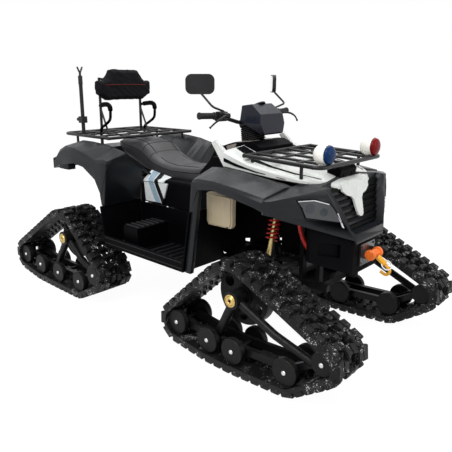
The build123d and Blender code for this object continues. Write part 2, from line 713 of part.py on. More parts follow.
def make_front_rack():
    """Tube rack over the hood."""
    rear_x, front_x, half, rear_z, front_z = 607, 1073, 308, 1044, 1026
    pieces = rack_loop(rear_x, front_x, half, rear_z, front_z, 50, half + TUBE_R)
    for y in (-205, -70, 70, 205):
        pieces.append(rod((rear_x, y, rear_z), (front_x, y, front_z), 8))
    for x in (760, 915):
        z = rear_z + (front_z - rear_z) * (x - rear_x) / (front_x - rear_x)
        pieces.append(rod((x, -half, z), (x, half, z), 7))
    for x, y in ((640, 285), (950, 285)):
        pieces += [rod((x, side * y, 958), (x, side * y, 1036), 9) for side in (-1, 1)]
        pieces += [rod((x, side * y, 1030), (x, side * half, 1034), 8) for side in (-1, 1)]
    return fuse(pieces)


def make_rear_rack():
    """Tube rack over the rear deck."""
    rear_x, front_x, half, z = -1075, -520, 368, REAR_RACK_Z
    pieces = rack_loop(rear_x, front_x, half, z, z, 60, half + TUBE_R + 3)
    for y in (-182, 0, 182):
        pieces.append(rod((rear_x, y, z + BAR_RISE), (front_x, y, z + BAR_RISE), 8))
    for x in (-960, -845, -690):
        pieces.append(rod((x, -half, z), (x, half, z), 7))
    for x in (-900, -600):
        pieces += [rod((x, side * half, 940), (x, side * half, z), 9) for side in (-1, 1)]
    return fuse(pieces)


def make_backrest():
    """Frame and pad of the backrest."""
    x, y, foot = -870, 182, REAR_RACK_Z
    pieces = []
    for side in (-1, 1):
        pieces.append(rod((x, side * y, foot), (x, side * y, 1450), 10))
        pieces.append(rod((x + 85, side * y, foot), (x, side * y, 1235), 7))
    pieces.append(rod((x, -y, 1330), (x, y, 1330), 8))
    pieces.append(rod((x, -y, 1440), (x, y, 1440), 8))
    pad_line = symmetric([(175, 1285), (248, 1330), (248, 1425), (185, 1440), (125, 1515)])
    pad = cross_plate(pad_line, x + 10.4, x + 75)
    return fuse(pieces), pad


def make_mast():
    """Fixed tube of the mast with its clamp, and the fork that slides in it."""
    x, y, foot, joint = -876, -332, REAR_RACK_Z + TUBE_R - 2, 1400
    tube = rod((x, y, foot), (x, y, joint), 13)
    plate = block((x - 24, x + 24), (y - 44, y + 24), (foot, foot + 9))
    clamp = block((x - 22, x + 22), (y - 22, y + 22), (1140, 1185))
    knob = rod((x - 62, y, 1162), (x - 20, y, 1162), 12)
    mast = fuse([tube, plate, clamp, knob]) - rod((x, y, 1190), (x, y, joint + 1), 8.06)
    sleeve = rod((x, y, joint + 0.3), (x, y, 1462), 15)
    stem = rod((x, y, 1195), (x, y, joint + 1), 8)
    neck = rod((x, y, 1460), (x, y, 1482), 8)
    prongs = [rod((x, y, 1478), (x, y + side * 20, 1520), 6) for side in (-1, 1)]
    return mast, fuse([sleeve, stem, neck, *prongs])


def make_beacon():
    """Housing and lens of the right beacon."""
    x, y, z, radius = 1041, -232, 1082, 54
    ball = Pos(x, y, z) * Sphere(radius)
    housing = ball - block((x + 22, x + 100), (y - 80, y + 80), (z - 80, z + 80))
    housing += rod((x - 12, y, 1030), (x - 12, y, z - 40), 9)
    lens_plane = Plane(origin=(x + 22, y, z), z_dir=(1, 0, 0))
    rings = [(0, 45), (10, 44), (15, 38), (18, 16)]
    lens = loft(Sketch() + [lens_plane.offset(out) * Circle(r) for out, r in rings], ruled=True)
    return housing, lens


def make_steering():
    """Handlebar with column and drop arm, controls, instrument pod and mirrors."""
    column = rod(column_at(COLUMN_FOOT_Z), column_at(COLUMN_TOP_Z), COLUMN_R)
    low, high = PITMAN_Z
    pitman = plan_plate([(662, -24), (662, 24), (538, 34), (538, -34)], low, high)
    bar_half = [(355, -399, 1243), (372, -262, 1238), (386, -110, 1196)]
    bar_line = bar_half + [(x, -y, z) for x, y, z in bar_half[::-1]]
    bar = bent_rod(bar_line, 11, 50)
    clamp = block((360, 408), (-38, 38), (1170, 1212))
    handlebar = fuse([column, pitman, bar, clamp])
    controls = []
    for side in (-1, 1):
        grip = rod((355, side * 403, 1243), (368, side * 292, 1239), 17)
        switch = block((350, 396), sorted((side * 205, side * 272)), (1208, 1262))
        perch = rod((392, side * 236, 1236), (425, side * 262, 1242), 10)
        lever = bent_rod([(425, side * 255, 1242), (440, side * 320, 1244), (418, side * 400, 1240)], 6, 30)
        controls += [grip, fuse([switch, perch, lever])]
    controls = [piece - handlebar for piece in controls]
    pod_side = [(396, 1204), (545, 1128), (562, 1138), (545, 1245), (470, 1300), (398, 1290)]
    pod_front = symmetric([(82, 1120), (112, 1190), (92, 1305)])
    pod = side_plate(pod_side, -120, 120) & cross_plate(pod_front, 300, 700)
    pod -= handlebar
    mirrors = []
    for side in (-1, 1):
        stalk = bent_rod([(380, side * 228, 1262), (392, side * 330, 1290), (302, side * 330, 1362)], 6, 20)
        facing = (-0.73, -side * 0.68, 0)
        head_plane = Plane(origin=(296, side * 330, 1409), x_dir=(0.68, -side * 0.73, 0), z_dir=facing)
        head = extrude(head_plane * RectangleRounded(160, 108, 34), amount=11, both=True)
        mirrors.append(fuse([stalk, head]))
    return handlebar, controls, pod, mirrors


def make_tie_rod():
    """Right tie rod with an eye at each end."""
    x, y = STEER_ARM_TIP
    seat = KNUCKLE_LUG_Z[1]
    in_x, in_y = TIE_ROD_IN
    in_z = PITMAN_Z[1] + PITMAN_GAP
    outer = rod((x, -y, seat + 0.3), (x, -y, seat + 0.3 + TIE_EYE_THICK), TIE_EYE_R)
    inner = rod((in_x, -in_y, in_z), (in_x, -in_y, in_z + TIE_EYE_THICK), TIE_EYE_R)
    bar = rod((in_x, -in_y, in_z + TIE_EYE_THICK / 2), (x, -y, seat + 0.3 + TIE_EYE_THICK / 2), TIE_ROD_R)
    hole = rod((x, -y, seat - 5), (x, -y, seat + TIE_EYE_THICK + 5), TIE_PIN_R + PIN_FIT)
    return fuse([outer, inner, bar]) - hole


def make_winch():
    """Winch drum with its plate, and the hook hanging from it."""
    x, z = 1225, 565
    plate = block((1180, 1189), (-72, 72), (505, 620))
    arms = [block((1188, x + 12), sorted((side * 36, side * 46)), (z - 34, z + 34)) for side in (-1, 1)]
    drum = rod((x, -37, z), (x, 37, z), 26)
    clevis = rod((x + 14, 10, z - 12), (x + 52, 26, z - 52), 15)
    clevis = clevis - drum
    hook_line = [(x + 50, 26, z - 50), (x + 82, 34, z - 84), (x + 60, 40, z - 118), (x + 26, 36, z - 100)]
    hook = bent_rod(hook_line, 8, 16)
    return fuse([plate, *arms, drum]), fuse([clevis, hook])


def build():
    """All nodes by name."""
    nodes = {}
    front_parts = {
        "belt": make_belt(FRONT_AXLE_X, FRONT_WHEELS),
        "track_frame": make_track_frame(FRONT_AXLE_X, FRONT_WHEELS, (-142, 22), (452, 89), (250, 165)),
        "track_wheels": make_wheels(FRONT_AXLE_X, FRONT_WHEELS),
        "sprocket": make_sprocket(FRONT_AXLE_X),
        "hub_cap": make_hub_cap(FRONT_AXLE_X),
        "knuckle": make_knuckle(),
    }
    for name, shape in front_parts.items():
        nodes[name + "_front_right"] = shape
        nodes[name + "_front_left"] = mirrored(shape)
    belt_rear = make_belt(REAR_AXLE_X, REAR_WHEELS)
    nodes["belt_rear_right"] = belt_rear
    nodes["belt_rear_left"] = mirrored(belt_rear)
    nodes["track_frames_rear"] = both_sides(
        make_track_frame(REAR_AXLE_X, REAR_WHEELS, (-207, 20), (300, 70), (160, 150))
    )
    nodes["track_wheels_rear"] = both_sides(make_wheels(REAR_AXLE_X, REAR_WHEELS))
    nodes["sprockets_rear"] = both_sides(make_sprocket(REAR_AXLE_X))
    nodes["hub_caps_rear"] = both_sides(make_hub_cap(REAR_AXLE_X))

    frame = make_frame()
    nodes["frame"] = frame
    arms = [arm - frame for arm in make_arms() + [make_rear_arms()]]
    nodes["suspension_arms"] = gather([both_sides(arm) for arm in arms])
    housings = [housing - frame for housing in make_housings()]
    nodes["gear_housings"] = gather(housings)
    shafts = [shaft - arms[2] for shaft in make_shafts()]
    nodes["drive_shafts"] = gather([both_sides(shaft - fuse(housings)) for shaft in shafts])
    shocks = [make_shock(*points) for points in shock_points()]
    nodes["shock_springs"] = gather([both_sides(spring) for damper, spring in shocks])
    nodes["shock_dampers"] = gather([both_sides(damper - fuse(arms) - frame) for damper, spring in shocks])
    nodes["engine_block"] = block((-150, 270), (-118, 118), (RAIL_LOW_Z + 18, 720))
    radiator = make_radiator()
    nodes["radiator"] = radiator
    hose = bent_rod([(955, -294, 765), (960, -294, 665), (1026, -294, 604)], 11, 60)
    nodes["hoses"] = both_sides(hose - radiator)

    footwell = make_footwells()
    nodes["footwells"] = both_sides(footwell)
    nodes["front_fenders"] = both_sides(make_front_fender() - footwell)
    rear = make_rear_fender()
    deck = block((-947, -748), (-190, 190), (955, 968))
    edge = BODY_HALF - 25
    deck += cross_plate(symmetric([(0, 836), (edge, 836), (edge, 905), (400, 955), (0, 955)]), -947, -935)
    nodes["rear_fenders"] = fuse([rear, mirrored(rear), deck]) - frame
    console = make_console()
    hood = seated(make_hood(), console)
    nodes["console"] = console
    nodes["side_panels"] = both_sides(make_side_panel())
    nodes["hood"] = hood
    nose_panel = make_nose_panel() - hood
    fascia = make_fascia() - hood
    nodes["fascia"] = fascia
    nodes["nose_panel"] = nose_panel
    nodes["grille"] = gather([slat - hood for slat in make_grille().solids()])
    nodes["headlights"] = both_sides(make_headlight())
    bumper = seated(make_lower_bumper(), fascia + frame)
    nodes["lower_bumper"] = bumper
    winch, hook = make_winch()
    nodes["winch"] = winch
    nodes["winch_hook"] = hook
    nodes["seat"] = make_seat()
    nodes["side_boxes"] = both_sides(block((440, 640), (123 - BODY_HALF, 160 - BODY_HALF), (665, 850)) - footwell)
    nodes["tail_lights"] = both_sides(block((-962, -947), (-520, -400), (850, 905)))
    front_rack = seated(make_front_rack(), hood)
    rear_rack = seated(make_rear_rack(), nodes["rear_fenders"])
    backrest, pad = make_backrest()
    nodes["front_rack"] = front_rack
    nodes["rear_rack"] = rear_rack
    nodes["backrest_frame"] = backrest - rear_rack
    nodes["backrest_pad"] = pad
    mast, fork = make_mast()
    nodes["mast"] = mast - rear_rack
    nodes["mast_fork"] = fork
    housing, lens = make_beacon()
    nodes["beacon_housings"] = both_sides(housing - front_rack)
    nodes["beacon_lens_blue"] = lens
    nodes["beacon_lens_red"] = mirrored(lens)

    handlebar, controls, pod, mirrors = make_steering()
    nodes["handlebar"] = handlebar
    nodes["controls"] = gather(controls)
    nodes["pod"] = pod
    nodes["mirrors"] = gather([mirror_piece - nodes["controls"] for mirror_piece in mirrors])
    tie_rod = make_tie_rod()
    nodes["tie_rod_right"] = tie_rod
    nodes["tie_rod_left"] = mirrored(tie_rod)
    return {name: raised(shape) for name, shape in nodes.items()}


def raised(shape):
    """A node lifted so that the lugs' tips stand on the ground."""
    return Compound(children=[Pos(0, 0, RISE) * solid for solid in shape.solids()])


def seated(piece, base):
    """The main solid that is left of a piece where it runs into what carries it."""
    return (piece - base).solids().sort_by(SortBy.VOLUME)[-1]


def gather(shapes):
    """Separate solids kept in one node."""
    return Compound(children=[solid for shape in shapes for solid in shape.solids()])


def make_radiator():
    """Radiator core with its end tanks behind the nose."""
    core = block((1012.6, 1034), (-285, 285), (584, 735))
    tanks = [block((1014, 1038), sorted((side * 285, side * 305)), (584, 738)) for side in (-1, 1)]
    return fuse([core, *tanks])


if __name__ == "__main__":
    os.makedirs("parts", exist_ok=True)
    for name, shape in build().items():
        export_step(shape, f"parts/{name}.step")
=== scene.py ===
import math
from bisect import bisect_right

import bmesh
import bpy
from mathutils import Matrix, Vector
from mathutils import noise as perlin
from mathutils.bvhtree import BVHTree
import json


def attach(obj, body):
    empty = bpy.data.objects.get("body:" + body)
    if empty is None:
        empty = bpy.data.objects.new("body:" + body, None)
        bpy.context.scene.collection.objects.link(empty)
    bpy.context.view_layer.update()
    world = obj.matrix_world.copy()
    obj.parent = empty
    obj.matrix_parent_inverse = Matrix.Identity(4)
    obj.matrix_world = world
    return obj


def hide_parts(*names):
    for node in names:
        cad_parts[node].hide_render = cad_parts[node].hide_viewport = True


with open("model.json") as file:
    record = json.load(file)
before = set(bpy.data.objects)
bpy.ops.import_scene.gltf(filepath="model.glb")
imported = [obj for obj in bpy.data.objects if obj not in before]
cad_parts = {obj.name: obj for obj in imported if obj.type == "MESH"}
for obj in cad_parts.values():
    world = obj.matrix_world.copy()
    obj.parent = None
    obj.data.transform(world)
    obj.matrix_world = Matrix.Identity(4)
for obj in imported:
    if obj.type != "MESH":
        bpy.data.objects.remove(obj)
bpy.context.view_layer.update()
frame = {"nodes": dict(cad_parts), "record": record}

MM = 0.001
# Height of the CAD model's zero above the floor
RISE = 0.022


def add_node(tree, kind, values=None):
    """New shader node with values for its inputs."""
    node = tree.nodes.new("ShaderNode" + kind)
    for name, value in (values or {}).items():
        node.inputs[name].default_value = value
    return node


def new_material(name, values):
    """Node material with its output and a shader that has values for its inputs."""
    mat = bpy.data.materials.new(name)
    mat.use_nodes = True
    tree = mat.node_tree
    tree.nodes.clear()
    shader = add_node(tree, "BsdfPrincipled", values)
    tree.links.new(shader.outputs["BSDF"], add_node(tree, "OutputMaterial").inputs["Surface"])
    return mat, tree, shader


def texture(tree, kind, values):
    """Texture over the piece's own coordinates, in metres."""
    node = add_node(tree, kind, values)
    tree.links.new(add_node(tree, "TexCoord").outputs["Object"], node.inputs["Vector"])
    return node


def noise(tree, scale, detail, rough=0.5):
    """Uneven pattern."""
    return texture(tree, "TexNoise", {"Scale": scale, "Detail": detail, "Roughness": rough}).outputs["Fac"]


def cells(tree, scale):
    """Distance from the middle of the nearest cell."""
    return texture(tree, "TexVoronoi", {"Scale": scale}).outputs["Distance"]


def ramp(tree, source, low, high, out_low=0.0, out_high=1.0):
    """Maps a value between two limits."""
    limits = {"From Min": low, "From Max": high, "To Min": out_low, "To Max": out_high}
    node = add_node(tree, "MapRange", limits)
    tree.links.new(source, node.inputs["Value"])
    return node.outputs["Result"]


def mix(tree, factor, first, second):
    """Colour between two colours or colour sockets."""
    node = add_node(tree, "Mix")
    node.data_type = "RGBA"
    tree.links.new(factor, node.inputs["Factor"])
    for socket, value in ((node.inputs[6], first), (node.inputs[7], second)):
        if isinstance(value, tuple):
            socket.default_value = (*value, 1)
        else:
            tree.links.new(value, socket)
    return node.outputs[2]


def math_node(tree, operation, first, second):
    """Arithmetic on a socket and a number or socket."""
    node = add_node(tree, "Math")
    node.operation = operation
    for socket, value in ((node.inputs[0], first), (node.inputs[1], second)):
        if isinstance(value, (int, float)):
            socket.default_value = value
        else:
            tree.links.new(value, socket)
    return node.outputs[0]


def parts_of(tree, kind, output):
    """The three parts of a vector that a node gives."""
    split = add_node(tree, "SeparateXYZ")
    tree.links.new(add_node(tree, kind).outputs[output], split.inputs["Vector"])
    return split.outputs


def connect(tree, shader, colour, rough, height, strength, distance):
    """Gives a shader its colour, roughness and relief."""
    relief = add_node(tree, "Bump", {"Strength": strength, "Distance": distance})
    tree.links.new(height, relief.inputs["Height"])
    tree.links.new(relief.outputs["Normal"], shader.inputs["Normal"])
    tree.links.new(colour, shader.inputs["Base Color"])
    tree.links.new(rough, shader.inputs["Roughness"])


COAT_ROUGH = 0.06
GRAIN_RELIEF = 0.0003
DUST = (0.30, 0.28, 0.25)


def finish_material(name, colour, rough, metal=0.0, grain=900.0, depth=0.15, vary=0.2, dust=0.0, coat=0.0,
                    specular=0.22):
    """Surface with fine grain, uneven colour and gloss, and dust where it faces up."""
    values = {"Metallic": metal, "Specular IOR Level": specular}
    if coat:
        values.update({"Coat Weight": coat, "Coat Roughness": COAT_ROUGH})
    mat, tree, shader = new_material(name, values)
    darker = tuple(c * (1 - vary) for c in colour)
    lighter = tuple(min(c * (1 + vary), 1.0) for c in colour)
    tint = mix(tree, ramp(tree, noise(tree, 9.0, 4.0), 0.3, 0.7), darker, lighter)
    if dust:
        up = ramp(tree, parts_of(tree, "NewGeometry", "Normal")["Z"], -0.1, 1.0)
        film = ramp(tree, noise(tree, 35.0, 6.0, 0.65), 0.35, 0.75, 0.0, dust)
        tint = mix(tree, math_node(tree, "MULTIPLY", up, film), tint, DUST)
    gloss = ramp(tree, noise(tree, 40.0, 5.0, 0.6), 0.3, 0.7, rough - 0.07, rough + 0.08)
    connect(tree, shader, tint, gloss, noise(tree, grain, 2.0), depth, GRAIN_RELIEF)
    return mat


def rubber_material(name):
    """Black belt rubber with pale grit."""
    mat, tree, shader = new_material(name, {"Specular IOR Level": 0.16})
    patches = noise(tree, 14.0, 5.0, 0.6)
    tint = mix(tree, ramp(tree, patches, 0.35, 0.7), (0.0022, 0.0022, 0.0028), (0.010, 0.0098, 0.0100))
    film = ramp(tree, noise(tree, 70.0, 6.0, 0.7), 0.54, 0.8, 0.0, 0.20)
    tint = mix(tree, film, tint, (0.10, 0.097, 0.093))
    place = noise(tree, 16.0, 4.0, 0.65)
    coarse = math_node(tree, "LESS_THAN", cells(tree, 95.0), ramp(tree, place, 0.46, 0.64, 0.0, 0.38))
    tint = mix(tree, coarse, tint, (0.33, 0.33, 0.325))
    fine = math_node(tree, "LESS_THAN", cells(tree, 240.0), ramp(tree, place, 0.40, 0.68, 0.0, 0.42))
    tint = mix(tree, math_node(tree, "MULTIPLY", fine, 0.5), tint, (0.30, 0.30, 0.29))
    gloss = ramp(tree, patches, 0.3, 0.7, 0.4, 0.62)
    connect(tree, shader, tint, gloss, noise(tree, 350.0, 4.0, 0.6), 0.35, 0.0008)
    return mat


def striped_material(name):
    """White panel with one plain slanting dark band and a pale blue one beside it."""
    mat, tree, shader = new_material(name, {})
    parts = parts_of(tree, "TexCoord", "Object")
    along = math_node(tree, "ADD", parts["X"], math_node(tree, "MULTIPLY", parts["Z"], 0.55))
    tint = mix(tree, ramp(tree, noise(tree, 12.0, 4.0), 0.3, 0.7), (0.60, 0.64, 0.66), (0.70, 0.72, 0.72))
    for low, soft_low, high, soft_high, colour in (
        (0.160, 0.166, 0.214, 0.220, (0.26, 0.36, 0.44)),
        (0.222, 0.226, 0.262, 0.266, (0.006, 0.006, 0.007)),
    ):
        start, end = ramp(tree, along, low, soft_low), ramp(tree, along, high, soft_high, 1.0, 0.0)
        tint = mix(tree, math_node(tree, "MULTIPLY", start, end), tint, colour)
    gloss = ramp(tree, noise(tree, 30.0, 4.0), 0.3, 0.7, 0.22, 0.32)
    connect(tree, shader, tint, gloss, noise(tree, 500.0, 2.0), 0.05, 0.0002)
    return mat


# Colour and roughness of each finish, and what differs from finish_material's own values
FINISHES = {
    "track_steel": ((0.0045, 0.0045, 0.0055), 0.38, dict(depth=0.2, dust=0.08, specular=0.15)),
    "road_wheel": ((0.0035, 0.0035, 0.0042), 0.45, dict(depth=0.25, dust=0.10, specular=0.15)),
    "wheel_disc": ((0.0045, 0.0045, 0.0052), 0.4, dict(depth=0.2, dust=0.07, specular=0.18)),
    "bolt_silver": ((0.66, 0.66, 0.64), 0.28, dict(metal=1.0, grain=300, vary=0.1)),
    "seat_piping": ((0.010, 0.009, 0.009), 0.45, dict(grain=800, depth=0.3)),
    "seam_red": ((0.10, 0.008, 0.008), 0.6, dict(grain=2500, depth=0.5)),
    "strip_silver": ((0.62, 0.63, 0.65), 0.25, dict(metal=0.6, vary=0.1)),
    "lamp_bowl": ((0.05, 0.055, 0.062), 0.2, dict(metal=0.7, vary=0.3)),
    "tank_bronze": ((0.20, 0.18, 0.155), 0.25, dict(metal=0.5, vary=0.15, coat=0.4)),
    "steel_bright": ((0.16, 0.16, 0.165), 0.35, dict(metal=1.0, grain=500)),
    "mirror_silver": ((0.80, 0.81, 0.82), 0.05, dict(metal=1.0, vary=0.02, depth=0.02)),
    "sprocket": ((0.004, 0.004, 0.0045), 0.5, dict(dust=0.1, specular=0.15)),
    "hub_cap": ((0.62, 0.45, 0.16), 0.28, dict(metal=1.0, grain=300, vary=0.12)),
    "chassis_steel": ((0.0035, 0.0035, 0.0045), 0.42, dict(dust=0.06, specular=0.15)),
    "arm_steel": ((0.010, 0.010, 0.011), 0.4, dict(dust=0.15)),
    "housing": ((0.16, 0.16, 0.165), 0.5, dict(metal=0.8, grain=400, depth=0.3)),
    "shaft": ((0.2, 0.19, 0.17), 0.4, dict(metal=0.9)),
    "spring_red": ((0.50, 0.012, 0.010), 0.3, dict(coat=0.4)),
    "damper_gold": ((0.60, 0.46, 0.20), 0.3, dict(metal=1.0, vary=0.15)),
    "engine": ((0.016, 0.016, 0.017), 0.5, dict(metal=0.6, grain=300, depth=0.3)),
    "radiator": ((0.42, 0.43, 0.45), 0.35, dict(metal=0.9)),
    "hose_red": ((0.55, 0.016, 0.012), 0.35, dict(coat=0.2)),
    # Black plastic: partly its own near-black and partly painted shade, darkened to the tone of the shaded
    # footwell walls
    "black_plastic": ((0.0014, 0.0014, 0.0020), 0.5, dict(grain=1100, depth=0.2, specular=0.035)),
    "fender_grey": ((0.0085, 0.0100, 0.0120), 0.34, dict(grain=1300, vary=0.1, specular=0.2)),
    "body_white": ((0.66, 0.68, 0.655), 0.24, dict(vary=0.05, coat=0.3, depth=0.04)),
    "grille": ((0.002, 0.002, 0.002), 0.5, dict(specular=0.05)),
    "lamp_smoke": ((0.020, 0.023, 0.027), 0.10, dict(coat=1.0, depth=0.02, vary=0.35)),
    "seat_vinyl": ((0.031, 0.0312, 0.0335), 0.36, dict(grain=700, depth=0.45, vary=0.15)),
    "backrest_cloth": ((0.0045, 0.0045, 0.0058), 0.8, dict(grain=1500, depth=0.5, specular=0.12)),
    "beacon_white": ((0.80, 0.78, 0.72), 0.3, dict(vary=0.04, coat=0.3)),
    "lens_blue": ((0.0005, 0.020, 0.080), 0.25, dict(coat=0.03, vary=0.25, specular=0.1)),
    "lens_red": ((0.17, 0.003, 0.005), 0.25, dict(coat=0.03, vary=0.25, specular=0.1)),
    "box_beige": ((0.46, 0.385, 0.265), 0.5, dict(vary=0.08, depth=0.2)),
    "tail_red": ((0.35, 0.012, 0.010), 0.15, dict(coat=0.25)),
    "rack_steel": ((0.006, 0.006, 0.007), 0.33, dict(depth=0.12, coat=0.15)),
    "mast_black": ((0.012, 0.012, 0.013), 0.4, {}),
    "mast_head": ((0.03, 0.03, 0.032), 0.35, dict(metal=0.7)),
    "bar_black": ((0.012, 0.012, 0.013), 0.35, {}),
    "control_rubber": ((0.010, 0.010, 0.011), 0.55, dict(grain=600, depth=0.5)),
    "pod_black": ((0.0055, 0.0068, 0.0140), 0.35, dict(coat=0.12)),
    "mirror_black": ((0.012, 0.012, 0.013), 0.4, {}),
    "winch_orange": ((0.75, 0.15, 0.02), 0.35, dict(coat=0.2)),
    "hook_yellow": ((0.72, 0.36, 0.03), 0.4, {}),
    "rod_steel": ((0.25, 0.25, 0.25), 0.35, dict(metal=1.0)),
}
MATERIALS = {"belt_rubber": rubber_material("belt_rubber"), "panel_light": striped_material("panel_light")}
for finish_name, (base_colour, base_rough, differences) in FINISHES.items():
    MATERIALS[finish_name] = finish_material(finish_name, base_colour, base_rough, **differences)

SLOT_OF = {row["node"]: row["material_slot"] for row in frame["record"]["subparts"]}

# Edge rounding of the CAD nodes that are shown, in millimetres
ROUND = {
    "footwells": 6, "console": 12, "hood": 8, "grille": 2, "headlights": 5, "side_panels": 2,
    "tail_lights": 4, "pod": 8, "engine_block": 12, "frame": 3,
}
# Points closer than this are one, and faces that turn less than this are one
WELD = 0.00005
FLAT = math.radians(1.0)


def add_object(name, data):
    """New object in the scene."""
    item = bpy.data.objects.new(name, data)
    bpy.context.scene.collection.objects.link(item)
    return item


def round_edges(item, width, segments=2, angle=30):
    """Rounds the edges that turn more than an angle."""
    edge = item.modifiers.new("edge", "BEVEL")
    edge.width = width
    edge.segments = segments
    edge.limit_method = "ANGLE"
    edge.angle_limit = math.radians(angle)
    edge.harden_normals = True


def dress(name, node):
    """Material and rounded edges for one CAD node."""
    node.data.materials.clear()
    node.data.materials.append(MATERIALS[SLOT_OF[name]])
    if name in ROUND:
        node.modifiers.new("weld", "WELD").merge_threshold = WELD
        flat = node.modifiers.new("flat", "DECIMATE")
        flat.decimate_type = "DISSOLVE"
        flat.angle_limit = FLAT
        round_edges(node, ROUND[name] * MM, 3, 28)


for node_name, node_object in frame["nodes"].items():
    dress(node_name, node_object)


# Track units, as in the CAD model: axle, wheels (ahead of the axle, above the lowest wheels, radius)
WHEEL_Z = 0.122
AXLE_Z = 0.399
SPROCKET_R = 0.158
BELT_OUT_Y = 0.655
BELT_WIDTH = 0.255
UNITS = {
    "front": (0.800, [(-0.398, 0.031, 0.070), (-0.165, 0.003, 0.070), (0.008, 0.0, 0.070),
                      (0.335, 0.016, 0.070), (0.531, 0.135, 0.057)]),
    "rear": (-0.750, [(-0.564, 0.035, 0.070), (-0.350, 0.003, 0.070), (-0.103, 0.0, 0.070),
                      (0.158, 0.0, 0.070), (0.340, 0.090, 0.070)]),
}


# Lengths shorter than this count as zero
TINY = 1e-5


def circle(centre, side, other, radius, steps):
    """Points round a centre in the plane of two directions."""
    turns = [2 * math.pi * k / steps for k in range(steps)]
    return [centre + (side * math.cos(turn) + other * math.sin(turn)) * radius for turn in turns]


class Shape:
    """Vertices and faces of one piece, with a material number for each face."""

    def __init__(self):
        self.verts = []
        self.faces = []
        self.kinds = []

    def add(self, verts, faces, kinds):
        """Adds points and faces."""
        first = len(self.verts)
        self.verts += [tuple(v) for v in verts]
        self.faces += [tuple(first + i for i in face) for face in faces]
        self.kinds += kinds

    def join(self, other):
        """Adds another shape's faces."""
        self.add(other.verts, other.faces, other.kinds)

    def mirrored(self):
        """The same piece on the other side of the vehicle."""
        twin = Shape()
        twin.add([(x, -y, z) for x, y, z in self.verts], [face[::-1] for face in self.faces], self.kinds)
        return twin

    def add_left(self):
        """Adds the left side of a shape that has only its right side."""
        self.join(self.mirrored())

    def lathe(self, profile, centre, axis, steps, kind=0):
        """Turns (distance along the axis, radius) points round an axis through a centre."""
        centre, axis = Vector(centre), Vector(axis).normalized()
        side = axis.orthogonal().normalized()
        other = axis.cross(side)
        rings = [circle(centre + axis * along, side, other, radius, steps) for along, radius in profile]
        self.prism(rings, kind, [profile[end][1] > TINY for end in (0, -1)])

    def tube(self, points, radius, steps):
        """Round bar through points, with one radius or one for each point."""
        points = [Vector(p) for p in points]
        rings = []
        side = None
        for i, point in enumerate(points):
            ahead = points[min(i + 1, len(points) - 1)] - points[max(i - 1, 0)]
            ahead.normalize()
            side = ahead.orthogonal() if side is None else side - ahead * side.dot(ahead)
            side.normalize()
            size = radius[i] if isinstance(radius, list) else radius
            rings.append(circle(point, side, ahead.cross(side), size, steps))
        self.prism(rings)

    def prism(self, rings, kind=0, closed=(True, True)):
        """Body through rings of equally many points, with or without a face at either end."""
        count = len(rings[0])
        last = (len(rings) - 1) * count
        faces = []
        for first in range(0, last, count):
            for k in range(count):
                a, b = first + k, first + (k + 1) % count
                faces.append((a, b, b + count, a + count))
        if closed[0]:
            faces.append(tuple(range(count))[::-1])
        if closed[1]:
            faces.append(tuple(range(last, last + count)))
        self.add([point for ring in rings for point in ring], faces, [kind] * len(faces))


def section(x, points):
    """Ring of (y, z) points at one place along the vehicle, all in the CAD model's millimetres."""
    return [(x * MM, y * MM, z * MM + RISE) for y, z in points]


def right_section(x, points):
    """Ring of (distance from the middle, z) points on the right side."""
    return section(x, [(-y, z) for y, z in points])


def slab(points, low, high):
    """Rings of an upright plate of (x, z) points from one y to another, also in millimetres."""
    return [[(x * MM, y * MM, z * MM + RISE) for x, z in points] for y in (low, high)]


def toward(point, centre, step):
    """Flat point moved a step toward a centre."""
    reach = math.dist(point, centre)
    return tuple(p + (c - p) * step / reach for p, c in zip(point, centre))


def place_piece(name, shape, materials, nodes=(), crease=35, rounding=0.0, body="chassis"):
    """Makes an object of a shape that rides on a body and stands for CAD nodes, sharp from a crease angle."""
    mesh = bpy.data.meshes.new(name)
    mesh.from_pydata(shape.verts, [], shape.faces)
    for material in materials:
        mesh.materials.append(MATERIALS[material])
    mesh.polygons.foreach_set("material_index", shape.kinds)
    work = bmesh.new()
    work.from_mesh(mesh)
    bmesh.ops.recalc_face_normals(work, faces=work.faces)
    work.to_mesh(mesh)
    work.free()
    mesh.shade_smooth()
    mesh.set_sharp_from_angle(angle=math.radians(crease))
    piece = add_object(name, mesh)
    if rounding:
        round_edges(piece, rounding)
    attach(piece, body)
    if nodes:
        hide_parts(*nodes)
    return piece


BELT_CIRCLE_STEPS = 240
# Half the length over which a belt's direction is taken
BELT_REACH = 0.006


